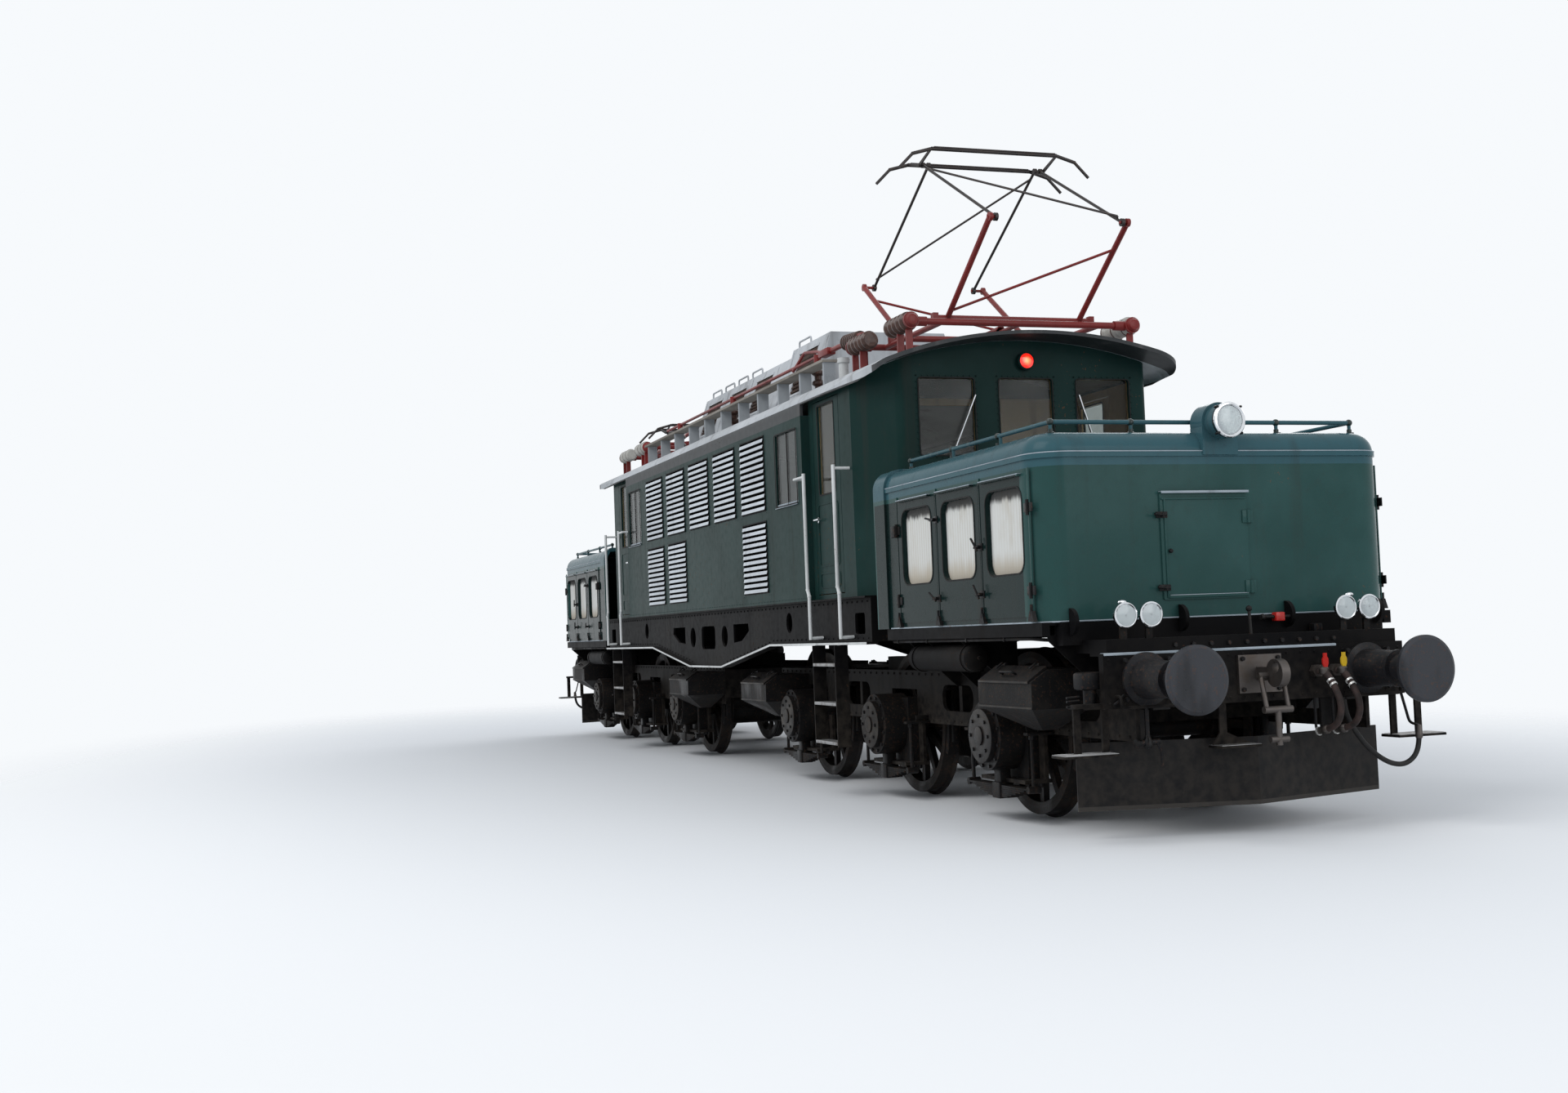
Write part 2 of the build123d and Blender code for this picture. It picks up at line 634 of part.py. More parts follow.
def roof_envelope(offset, x0, x1, low):
    """The roof's cross section as a solid block, shrunk inwards by offset."""
    half, edge, crown = body_half - offset, roof_edge - offset, roof_crown - offset
    plane = Plane(origin=(min(x0, x1), 0, 0), x_dir=(0, 1, 0), z_dir=(1, 0, 0))
    top = ThreePointArc((half, edge), (0, crown), (-half, edge))
    sides = Polyline((-half, edge), (-half, low), (half, low), (half, edge))
    face = make_face([top, *sides.edges()])
    corners = [v for v in face.vertices() if v.Y > edge - 1]
    face = fillet(corners, eave_radius - offset)
    return extrude(plane * face, abs(x1 - x0))


def cab():
    """Front cab shell: tapered walls with door and window openings, and the wall to the machine room."""
    top = rail + 3950
    outer = extrude(Pos(0, 0, sill_top - 45) * cab_plan(0, room_half), top - sill_top + 45)
    hollow = extrude(Pos(0, 0, sill_top - 60) * cab_plan(wall, room_half + wall), top - sill_top + 80)
    shell = outer.cut(hollow)
    shell = common(shell, roof_envelope(roof_skin + seat_gap, room_half - 100, cab_front_x + 100, sill_top - 80))
    cuts = []
    for side in (-1, 1):
        cuts.append(slab(door_start, door_start + door_width, side * (cab_side_y - 80), side * (cab_side_y + 50),
                         door_bottom, door_top))
        cuts.append(front_cut(side * 755, (front_window_bottom + front_window_top) / 2, 525,
                              front_window_top - front_window_bottom, 25, cab_front_x - 80, cab_front_x + 20))
    cuts.append(front_cut(0, (front_window_bottom + front_window_top) / 2, 515, front_window_top - front_window_bottom,
                          25, cab_front_x - 80, cab_front_x + 20))
    cuts.append(slab(room_half - 5, room_half + wall + 5, -300, 300, sill_top + 40, sill_top + 1850))
    cuts.append(slab(room_half - 5, bridge_half + 1, -cab_side_y - 5, cab_side_y + 5, sill_top - 60, sill_top))
    shell = shell.cut(*cuts)
    step = slab(room_half + 40, room_half + 1060, -cab_side_y + wall, cab_side_y - wall, sill_top, sill_top + 6)
    desk = slab(cab_front_x - 520, cab_front_x - wall, -900, 900, sill_top + 700, sill_top + 1000)
    lamp = drum(cab_front_x - 10, cab_front_x + 45, 0, rail + 3751, 78)
    return [joined([shell, desk, lamp])]


def window_glass():
    """Fixed panes of both cabs and the machine room."""
    panes = []
    height = front_window_top - front_window_bottom
    for y, width in ((-755, 525), (0, 515), (755, 525)):
        pane = front_cut(y, front_window_bottom + height / 2, width - 2 * seat_gap, height - 2 * seat_gap, 24,
                         cab_front_x - wall / 2 - glass, cab_front_x - wall / 2)
        panes.append(pane)
    for side in (-1, 1):
        mid = side * (body_half - wall / 2)
        half = side_window_width / 2 - seat_gap
        panes.append(slab(side_window_x - half, side_window_x + half, mid, mid + side * glass,
                          side_window_bottom + seat_gap, side_window_top - seat_gap))
    return panes + other_end(panes)


def cab_door(side):
    """One cab door leaf with its window opening, hinged at its front edge."""
    y0, y1 = side * (cab_side_y - wall), side * (cab_side_y - wall + door_leaf)
    leaf = slab(door_start + door_gap, door_start + door_width - door_gap, y0, y1, door_bottom + door_gap,
                door_top - door_gap)
    window = side_cut(door_start + door_width / 2, rail + 3140, 430, 820, 20, y0 - side * 10, y1 + side * 10)
    grip = rod((door_start + 70, y1 - side * 5, rail + 2500), (door_start + 70, y1 + side * 45, rail + 2500), 12)
    lever = rod((door_start + 70, y1 + side * 40, rail + 2500), (door_start + 190, y1 + side * 40, rail + 2500), 11)
    hinge_x, hinge_y = door_start + door_width - door_gap, side * (cab_side_y - wall)
    pintle = rod((hinge_x, hinge_y, door_bottom + seat_gap), (hinge_x, hinge_y, door_top - seat_gap), door_gap - seat_gap)
    return joined([leaf.cut(window), grip, lever, pintle])


def door_handrails():
    """Eight long handrails beside the cab doors, bent out round the sill."""
    rails = []
    for x in (3830, 4630):
        for side in (-1, 1):
            y, foot = side * 1555, side * (sill_web_y + sill_web)
            bars = [rod((x, y, rail + 1850), (x, y, rail + 2930), 17),
                    rod((x, y, rail + 1850), (x + 35, y, rail + 1790), 17),
                    rod((x + 35, y, rail + 1790), (x + 35, y, rail + 1390), 17),
                    rod((x + 35, y, rail + 1405), (x + 35, foot, rail + 1405), 15)]
            if x > room_half + 400:
                bars.append(rod((x, y, rail + 2900), (x, side * cab_side_y, rail + 2900), 13))
            else:
                anchor = room_half - 30
                bars.append(rod((x, y, rail + 2900), (anchor - 13, y, rail + 2900), 13))
                bars.append(rod((anchor, y, rail + 2900), (anchor, side * body_half, rail + 2900), 13))
            bars += [Pos(*p) * Sphere(20) for p in ((x, y, rail + 1850), (x + 35, y, rail + 1790))]
            rails.append(joined(bars))
    return rails + other_end(rails)


def ladders():
    """Four ladders below the cab doors."""
    bodies = []
    for side in (-1, 1):
        y0, y1 = side * 1420, side * 1545
        stiles = [slab(x, x + 14, y0, y1, rail + 430, sill_bottom - flange_thickness - 0.5) for x in (3860, 4446)]
        steps = [slab(3860, 4460, y0, y1, rail + z, rail + z + 26) for z in (446, 795, 1145)]
        bodies.append(joined([*stiles, *steps]))
    return bodies + other_end(bodies)


def transformer():
    """The main transformer, a plain block in the middle of the machine room."""
    return [slab(-900, 900, -800, 800, sill_top, sill_top + 1500)]


# Roof
def roof():
    """Roof skin over the machine room, flaring into a visor over each cab."""
    room = roof_envelope(0, -room_half, room_half, wall_top)
    room = room.cut(roof_envelope(roof_skin, -room_half - 5, room_half + 5, wall_top - 5))
    visors = []
    for way in (-1, 1):
        start, end = way * (room_half - 1), way * cab_roof_front
        block = roof_envelope(0, start, end, wall_top)
        inside = roof_envelope(roof_skin, start - way * 5, end + way * 5, wall_top - 5)
        visor = block.cut(inside)
        plan = make_face(Polyline((start, -body_half - 20), (end, -body_half + 60), (end, body_half - 60),
                                  (start, body_half + 20), close=True))
        plan = fillet([v for v in plan.vertices() if abs(v.X) > cab_roof_front - 1], 330)
        visors.append(common(visor, extrude(Pos(0, 0, cab_eave_bottom) * plan, 500)))
    return [joined([room, *visors])]


def roof_monitors():
    """Two raised ventilator housings with sloping sides and grille openings."""
    bodies = []
    for x0, x1, top in ((-2450, 620, rail + 4500), (1050, 2250, rail + 4570)):
        section = [(-900, rail + 3750), (900, rail + 3750), (640, top), (-640, top)]
        block = along(section, x0, x1).cut(roof_envelope(-0.5, x0 - 5, x1 + 5, rail + 3400))
        cuts = []
        count = 3 if x1 - x0 > 2000 else 1
        pitch = (x1 - x0) / count
        for k in range(count):
            middle = x0 + pitch * (k + 0.5)
            for side in (-1, 1):
                cuts.append(slab(middle - 300, middle + 300, side * 640, side * 960, rail + 4020, top - 90))
        bodies.append(block.cut(*cuts))
    return bodies


def roof_walkways():
    """Plank walkways on brackets along both sides of the roof."""
    bodies = []
    for side in (-1, 1):
        inner, outer = side * 1010, side * 1170
        plank = slab(-3750, 3400, inner, outer, rail + 4055, rail + 4080)
        feet = [slab(x, x + 40, inner + side * 20, outer - side * 20, rail + 3780, rail + 4060)
                for x in range(-3650, 3400, 700)]
        skin = roof_envelope(-0.4, -room_half - 700, room_half + 100, rail + 3400)
        bodies.append(joined([plank, *feet]).cut(skin))
    return bodies


def insulator(x, y, low, high, radius=70):
    """A standing ribbed insulator."""
    core = rod((x, y, low), (x, y, high), radius * 0.55)
    count = 3
    pitch = (high - low - 40) / count
    sheds = [rod((x, y, low + 20 + k * pitch), (x, y, low + 38 + k * pitch), radius) for k in range(count)]
    return joined([core, *sheds])


def roof_conductors():
    """Busbars that join the pantographs, on standing insulators."""
    bodies = []
    y = -942
    low = rail + 3830
    pieces = [rod((-3350, y, rail + 4230), (3350, y, rail + 4230), 17)]
    for x in (-2700, -300, 2650):
        post = insulator(x, y, low, rail + 4180, 60)
        pieces += [post, rod((x, y, rail + 4170), (x, y, rail + 4250), 38)]
    skin = roof_envelope(-0.4, -room_half, room_half, rail + 3400)
    bodies.append(joined(pieces).cut(skin))
    return bodies


def pantograph_base(centre):
    """One pantograph's base frame on four lying insulators in brackets."""
    z = shaft_z
    half = 940
    pieces = []
    for way in (-1, 1):
        x = centre + way * (shaft_offset + 150)
        pieces.append(rod((x, -half, z - 60), (x, half, z - 60), 30))
        for side in (-1, 1):
            pieces.append(rod((x, side * (half - 30), z - 60), (x, side * 1070, z - 60), 42))
            pieces.append(rod((x, side * 1070, z - 60), (x - way * 190, side * 1070, z - 60), 62))
            pieces.append(slab(x - way * 190, x - way * 210, side * 1040, side * 1100, rail + 3780, z))
            pieces.append(slab(x + way * 5, x - way * 15, side * 1040, side * 1100, rail + 3780, z - 40))
    for side in (-1, 1):
        pieces.append(rod((centre - shaft_offset - 150, side * 760, z - 60), (centre + shaft_offset + 150, side * 760, z - 60), 26))
        for way in (-1, 1):
            pieces.append(slab(centre + way * shaft_offset - 30, centre + way * shaft_offset + 30, side * 735, side * 785,
                               z - 60, z + 45))
    bearings = [disc(centre + way * shaft_offset, -790, 790, z, shaft_radius + pin_clearance) for way in (-1, 1)]
    lo, hi = centre - 1100, centre + 1100
    skin = roof_envelope(-0.3, lo, hi, rail + 3400)
    return joined(pieces).cut(*bearings).cut(skin)


# Pantograph arms. Angles are above the horizontal; way is 1 for the leading pair, -1 for the trailing pair
def arm_points(centre, way, lower_angle, upper_angle):
    """Shaft, knee and apex of one pair of arms, in X and Z."""
    shaft = (centre + way * shaft_offset, shaft_z)
    a, b = math.radians(lower_angle), math.radians(upper_angle)
    knee = (shaft[0] + way * lower_length * math.cos(a), shaft[1] + lower_length * math.sin(a))
    apex = (knee[0] - way * upper_length * math.cos(b), knee[1] + upper_length * math.sin(b))
    return shaft, knee, apex


def lower_arms(centre, way, lower_angle, upper_angle, rod_y):
    """A cross shaft with two tapered lower arms, a diagonal stay and the knee pins."""
    shaft, knee, _ = arm_points(centre, way, lower_angle, upper_angle)
    a = math.radians(lower_angle)
    back = (-way * math.cos(a), -math.sin(a))
    pieces = [disc(shaft[0], -785, 785, shaft[1], shaft_radius)]
    for side in (-1, 1):
        y = side * lower_arm_y
        pieces.append(rod((shaft[0], y, shaft[1]), (knee[0], y, knee[1]), arm_radius))
        pieces.append(disc(knee[0], y - eye_width / 2, y + eye_width / 2, knee[1], 36))
        pieces.append(disc(knee[0], side * (rod_y - 24), y, knee[1], pin_radius))
    high = [c + 300 * u for c, u in zip(knee, back)]
    root = [c - 90 * u for c, u in zip(shaft, back)]
    pieces.append(rod((root[0], -way * lower_arm_y, root[1]), (high[0], way * lower_arm_y, high[1]), 12))
    return [joined(pieces)]


def upper_rods(centre, way, lower_angle, upper_angle, rod_y, bored):
    """Two thin upper rods with a diagonal; bored ones carry the head, plain ones end in bosses."""
    _, knee, apex = arm_points(centre, way, lower_angle, upper_angle)
    b = math.radians(upper_angle)
    over = (way * math.sin(b), math.cos(b))
    pieces, bores = [], []
    for side in (-1, 1):
        y = side * rod_y
        pieces.append(rod((knee[0], y, knee[1]), (apex[0], y, apex[1]), rod_radius))
        for point, radius in ((knee, 34), (apex, 26)):
            pieces.append(disc(point[0], y - 14, y + 14, point[1], radius))
        bores.append(disc(knee[0], y - 20, y + 20, knee[1], pin_radius + pin_clearance))
        if bored:
            bores.append(disc(apex[0], y - 20, y + 20, apex[1], pin_radius + pin_clearance))
    inward = -way * upper_length * 0.06 * math.cos(b), upper_length * 0.06 * math.sin(b)
    start = (knee[0] + inward[0] + 26 * over[0], knee[1] + inward[1] + 26 * over[1])
    end = (apex[0] - inward[0] + 0 * over[0], apex[1] - inward[1] + 0 * over[1])
    pieces.append(rod((start[0], way * rod_y, start[1]), (end[0], -way * rod_y, end[1]), 10))
    pieces.append(rod((knee[0] + inward[0], way * rod_y, knee[1] + inward[1]), (start[0], way * rod_y, start[1]), 11))
    return [joined(pieces).cut(*bores)]


def contact_head(centre, lower_angle, upper_angle):
    """The collector head: two bowed strips on end carriers, pivoted on the leading rods."""
    _, _, apex = arm_points(centre, 1, lower_angle, upper_angle)
    x, z = apex
    pieces = []
    for way in (-1, 1):
        bx, bz = x + way * bow_offset, z + bow_rise
        pieces.append(rod((bx, -bow_half, bz), (bx, bow_half, bz), 18))
        for side in (-1, 1):
            bend = (bx, side * (bow_half + 190), bz - 55)
            pieces.append(rod((bx, side * (bow_half - 8), bz + 1), bend, 16))
            pieces.append(rod((bx, side * (bow_half + 180), bz - 50), (bx, side * bow_tip_y, bz - bow_tip_drop), 14))
    for side in (-1, 1):
        y = side * (front_rod_y + 32)
        high = z + bow_rise
        carrier = [(x - bow_offset, high - 10), (x - bow_offset, high + 12), (x, z + 18),
                   (x + bow_offset, high + 12), (x + bow_offset, high - 10), (x, z - 15)]
        pieces.append(across(carrier, y - 7, y + 7))
        pieces.append(disc(x, side * (front_rod_y - 18), side * (front_rod_y + 44), z, pin_radius))
    return [joined(pieces)]


def pantograph(name, centre, lower_angle, upper_angle):
    """Write the five moving sub-parts of one pantograph."""
    shape = (centre, lower_angle, upper_angle)
    save(f"{name}_lower_arms_leading", lower_arms(centre, 1, *shape[1:], front_rod_y))
    save(f"{name}_lower_arms_trailing", lower_arms(centre, -1, *shape[1:], rear_rod_y))
    save(f"{name}_upper_rods_leading", upper_rods(centre, 1, *shape[1:], front_rod_y, True))
    save(f"{name}_upper_rods_trailing", upper_rods(centre, -1, *shape[1:], rear_rod_y, False))
    save(f"{name}_head", contact_head(*shape))


def main():
    """Build every sub-part and write it."""
    wheels = wheelset()
    for number, x in enumerate(sorted(axle_places(1) + axle_places(-1), reverse=True), start=1):
        save(f"wheelset_{number}", [Pos(x, 0, axle_height) * wheels])
    ends = {"bogie_frame": [bogie_frame()], "axle_boxes": axle_boxes(), "sandboxes": sandboxes(),
            "traction_motors": motors(), "hood": [hood()], "hood_screens": hood_screens(), "buffers": buffers(),
            "coupler": coupler(), "snowplough": snowplough(), "lamps": lamps()}
    for name, pieces in ends.items():
        save(f"{name}_front", pieces)
        save(f"{name}_rear", other_end(pieces))
    save("bridge_frame", [bridge_frame()])
    save("machine_room_sides", machine_room_sides())
    save("louvres", louvres())
    front_cab = cab()
    save("cab_front", front_cab)
    save("cab_rear", other_end(front_cab))
    for side, word in ((-1, "right"), (1, "left")):
        leaf = cab_door(side)
        save(f"cab_door_front_{word}", [leaf])
        save(f"cab_door_rear_{'left' if word == 'right' else 'right'}", other_end([leaf]))
    save("window_glass", window_glass())
    save("door_handrails", door_handrails())
    save("ladders", ladders())
    save("transformer", transformer())
    save("roof", roof())
    save("roof_monitors", roof_monitors())
    save("roof_walkways", roof_walkways())
    save("roof_conductors", roof_conductors())
    save("pantograph_bases", [pantograph_base(panto_x), pantograph_base(-panto_x)])
    pantograph("pantograph_front", panto_x, raised_lower, raised_upper)
    folded = raised_lower - fold_travel
    pantograph("pantograph_rear", -panto_x, folded, raised_upper - upper_ratio * fold_travel)


main()
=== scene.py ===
"""Looks of a six-axle electric locomotive: paint, steel, glass, lamps, rivets and small fittings.

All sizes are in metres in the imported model's frame: +X towards the front end, +Y to the left and
+Z up, with the wheel flanges on the floor. Most details are laid out from an origin of their own,
such as the rail head or the middle of the buffer beam.
"""

import json
import logging
import math
from dataclasses import dataclass, field
from enum import Enum
from typing import Iterable, Self, Sequence

import bmesh
import bpy
from mathutils import Matrix, Vector

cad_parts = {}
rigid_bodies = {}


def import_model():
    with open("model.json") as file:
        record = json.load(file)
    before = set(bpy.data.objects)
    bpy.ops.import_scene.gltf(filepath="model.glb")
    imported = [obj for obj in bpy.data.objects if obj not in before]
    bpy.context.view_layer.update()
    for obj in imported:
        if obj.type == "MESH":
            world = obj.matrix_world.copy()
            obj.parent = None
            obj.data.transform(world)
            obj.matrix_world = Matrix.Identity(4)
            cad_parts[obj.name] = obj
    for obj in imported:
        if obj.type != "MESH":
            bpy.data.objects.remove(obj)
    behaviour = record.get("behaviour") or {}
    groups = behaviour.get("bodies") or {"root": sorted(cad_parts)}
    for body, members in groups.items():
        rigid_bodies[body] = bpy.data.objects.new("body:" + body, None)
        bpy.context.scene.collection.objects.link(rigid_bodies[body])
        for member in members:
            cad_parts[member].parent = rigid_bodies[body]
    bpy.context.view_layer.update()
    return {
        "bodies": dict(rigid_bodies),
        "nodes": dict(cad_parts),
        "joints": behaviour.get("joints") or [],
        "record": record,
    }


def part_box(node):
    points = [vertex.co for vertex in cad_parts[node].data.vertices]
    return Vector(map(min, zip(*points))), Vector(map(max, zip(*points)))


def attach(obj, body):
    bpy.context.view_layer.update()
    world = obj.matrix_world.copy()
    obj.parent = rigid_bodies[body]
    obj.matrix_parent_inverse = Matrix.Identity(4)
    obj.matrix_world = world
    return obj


LOG = logging.getLogger("locomotive")
Point = tuple[float, float, float]
Pair = tuple[float, float]

# Which way each end and the right and left sides are.
ENDS = {"front": 1.0, "rear": -1.0}
SIDES = (-1.0, 1.0)

# The rail head's height above the floor, and the places that details are measured from.
RAIL = 0.028
ORIGIN: Point = (0.0, 0.0, 0.0)
ABOVE_RAIL: Point = (0.0, 0.0, RAIL)
BUFFER_BEAM: Point = (8.65, 0.0, RAIL)
PANTOGRAPH_BASE: Point = (4.683, 0.0, RAIL + 4.09)

# Directions, and the factors that put a point on the other side.
AHEAD: Point = (1.0, 0.0, 0.0)
LEFT: Point = (0.0, 1.0, 0.0)
UP: Point = (0.0, 0.0, 1.0)
ACROSS: Point = (1.0, -1.0, 1.0)

# The limits that leave a zone open below and above, and the colour sockets of a Mix node.
BELOW, FAR = -1.0, 99.0
MIX_AMOUNT, MIX_A, MIX_B, MIX_RESULT = 0, 6, 7, 2

# Colours that several finishes share, the angle in degrees up to which faces are shaded as one, and
# how far the glaze stands out from an insulator in the CAD.
ROAD_DUST: Point = (0.075, 0.062, 0.05)
SHELF_DUST: Point = (0.10, 0.095, 0.09)
RUST: Point = (0.12, 0.055, 0.028)
OIL: Point = (0.008, 0.008, 0.009)
STAIN: Point = (0.09, 0.07, 0.055)
CLEAR: Point = (0.92, 0.95, 0.94)
SMOOTH_BELOW = 35.0
GLAZE = 0.0016


class Wire:
    """A shader socket that arithmetic can be written on."""

    def __init__(self, graph: "ShaderGraph", socket: bpy.types.NodeSocket) -> None:
        """Keep the socket and the graph that it belongs to."""
        self.graph = graph
        self.socket = socket

    def __add__(self, other: "Wire | float") -> "Wire":
        """self + other"""
        return self.graph.maths("ADD", self, other)

    __radd__ = __add__

    def __sub__(self, other: "Wire | float") -> "Wire":
        """self - other"""
        return self.graph.maths("SUBTRACT", self, other)

    def __rsub__(self, other: "Wire | float") -> "Wire":
        """other - self"""
        return self.graph.maths("SUBTRACT", other, self)

    def __mul__(self, other: "Wire | float") -> "Wire":
        """self * other"""
        return self.graph.maths("MULTIPLY", self, other)

    __rmul__ = __mul__

    def __truediv__(self, other: "Wire | float") -> "Wire":
        """self / other"""
        return self.graph.maths("DIVIDE", self, other)

    def __rtruediv__(self, other: "Wire | float") -> "Wire":
        """other / self"""
        return self.graph.maths("DIVIDE", other, self)

    def __pow__(self, other: "Wire | float") -> "Wire":
        """self raised to other"""
        return self.graph.maths("POWER", self, other)

    def __gt__(self, other: "Wire | float") -> "Wire":
        """1 where self is over other, and 0 elsewhere"""
        return self.graph.maths("GREATER_THAN", self, other)

    def clamp(self) -> "Wire":
        """self held between 0 and 1"""
        node = self.graph.node("ShaderNodeClamp", inputs={"Value": self})
        return self.graph.wire(node, "Result")

    def over_zero(self) -> "Wire":
        """self, or 0 where self is below it"""
        return self.graph.maths("MAXIMUM", self, 0.0)

    def step(self, low: float, high: float) -> "Wire":
        """A smooth rise from 0 at low to 1 at high."""
        node = self.graph.node("ShaderNodeMapRange", {"interpolation_type": "SMOOTHSTEP"},
                               {"Value": self, "From Min": low, "From Max": high})
        return self.graph.wire(node, "Result")


class Graph:
    """A node tree that nodes are added to with their settings, values and links."""

    def __init__(self, tree: bpy.types.NodeTree) -> None:
        """Empty the tree and keep it."""
        self.tree = tree
        tree.nodes.clear()

    def node(self, kind: str, settings: dict | None = None, inputs: dict | None = None) -> bpy.types.Node:
        """Add a node.

        Args:
            kind: the node's type name.
            settings: attributes, which are set first.
            inputs: values, sockets or wires, by the socket's name or number.

        Returns:
            The new node.
        """
        made = self.tree.nodes.new(kind)
        for key, value in (settings or {}).items():
            setattr(made, key, value)
        for key, value in (inputs or {}).items():
            self.feed(made, key, value)
        return made

    def feed(self, node: bpy.types.Node, key: str | int, value: object) -> None:
        """Give one socket of a node a value, a socket or a wire."""
        socket = node.inputs[key]
        value = value.socket if isinstance(value, Wire) else value
        if isinstance(value, bpy.types.NodeSocket):
            self.tree.links.new(value, socket)
        elif isinstance(value, tuple) and socket.type == "RGBA":
            socket.default_value = (*value, 1.0)[:4]
        else:
            socket.default_value = value


class ShaderGraph(Graph):
    """The nodes of one material, with its principled shader ready to be fed."""

    def __init__(self, name: str) -> None:
        """Start a material of that name."""
        self.material = bpy.data.materials.new(name)
        self.material.use_nodes = True
        super().__init__(self.material.node_tree)
        self.shader = self.node("ShaderNodeBsdfPrincipled")
        self.output = self.node("ShaderNodeOutputMaterial", inputs={"Surface": self.wire(self.shader, "BSDF")})
        self.place = self.wire(self.node("ShaderNodeTexCoord"), "Object")

    def wire(self, node: bpy.types.Node, key: str | int) -> Wire:
        """The wire from one output of a node."""
        return Wire(self, node.outputs[key])

    def maths(self, operation: str, a: Wire | float, b: Wire | float) -> Wire:
        """A Math node of that operation on a and b."""
        return self.wire(self.node("ShaderNodeMath", {"operation": operation}, {0: a, 1: b}), 0)

    def blend(self, amount: Wire | float, a: object, b: object) -> Wire:
        """Mix two colours or wires; the amount says how much of b shows."""
        made = self.node("ShaderNodeMix", {"data_type": "RGBA"}, {MIX_AMOUNT: amount, MIX_A: a, MIX_B: b})
        return self.wire(made, MIX_RESULT)

    def cover(self, amount: Wire, first: Wire, second: Wire) -> None:
        """Show a mix of two shaders instead of the principled one alone."""
        mix = self.node("ShaderNodeMixShader", inputs={0: amount, 1: first, 2: second})
        self.feed(self.output, "Surface", self.wire(mix, 0))

    def stretched(self, scale: Point) -> Wire:
        """Object coordinates scaled by a vector."""
        return self.wire(self.node("ShaderNodeVectorMath", {"operation": "MULTIPLY"}, {0: self.place, 1: scale}), 0)

    def noise(self, size: float, detail: float = 4.0, stretch: Point | None = None, rough: float = 0.55) -> Wire:
        """Smooth noise.

        Args:
            size: how many bumps a metre has.
            detail: how many finer layers are added.
            stretch: factors on X, Y and Z.
            rough: how strong the finer layers are.

        Returns:
            A value round 0.5.
        """
        at = self.stretched(stretch) if stretch else self.place
        values = {"Vector": at, "Scale": size, "Detail": detail, "Roughness": rough}
        return self.wire(self.node("ShaderNodeTexNoise", inputs=values), 0)

    def corners(self) -> tuple[Wire, Wire, Wire]:
        """The distance from the middle along the length and the width, and the height, in metres."""
        parts = self.node("ShaderNodeSeparateXYZ", inputs={0: self.place})
        x, y = (self.maths("ABSOLUTE", self.wire(parts, k), 0.0) for k in (0, 1))
        return x, y, self.wire(parts, 2)

    def height(self) -> Wire:
        """The height above the floor in metres."""
        return self.corners()[2]

    def facing_up(self) -> Wire:
        """1 on faces that look up, 0 on upright ones."""
        normal = self.wire(self.node("ShaderNodeNewGeometry"), "Normal")
        return self.wire(self.node("ShaderNodeSeparateXYZ", inputs={0: normal}), 2)

    def bump(self, level: Wire, strength: float, distance: float) -> Wire:
        """A bumped normal from a level."""
        made = self.node("ShaderNodeBump", inputs={"Strength": strength, "Distance": distance, "Height": level})
        return self.wire(made, 0)

    def set(self, **values: object) -> None:
        """Set the shader's sockets; an underscore stands for a space in a name."""
        for key, value in values.items():
            self.feed(self.shader, key.replace("_", " "), value)


@dataclass(frozen=True)
class Zone:
    """A box-shaped part of the model, the same on all four quarters, that has its own colour."""

    colour: Point
    x: Pair = (BELOW, FAR)
    y: Pair = (BELOW, FAR)
    z: Pair = (BELOW, FAR)
    taper: Pair = (FAR, 0.0)
    upright: bool = False

    def over(self, g: ShaderGraph, colour: Wire) -> Wire:
        """Lay the zone's colour over another.

        Args:
            g: the material's graph.
            colour: the colour outside the zone.

        Returns:
            The joined colour.
        """
        x, y, z = g.corners()
        narrow = y + (x - self.taper[0]).over_zero() * self.taper[1]
        inside = 1.0
        for value, (low, high) in ((x, self.x), (narrow, self.y), (z, self.z)):
            if low > 0.0:
                inside = (value > low) * inside
            if high < FAR:
                inside = (high - value > 0.0) * inside
        if self.upright:
            inside = (1.0 - g.facing_up().step(0.15, 0.45)) * inside
        return g.blend(inside, colour, self.colour)


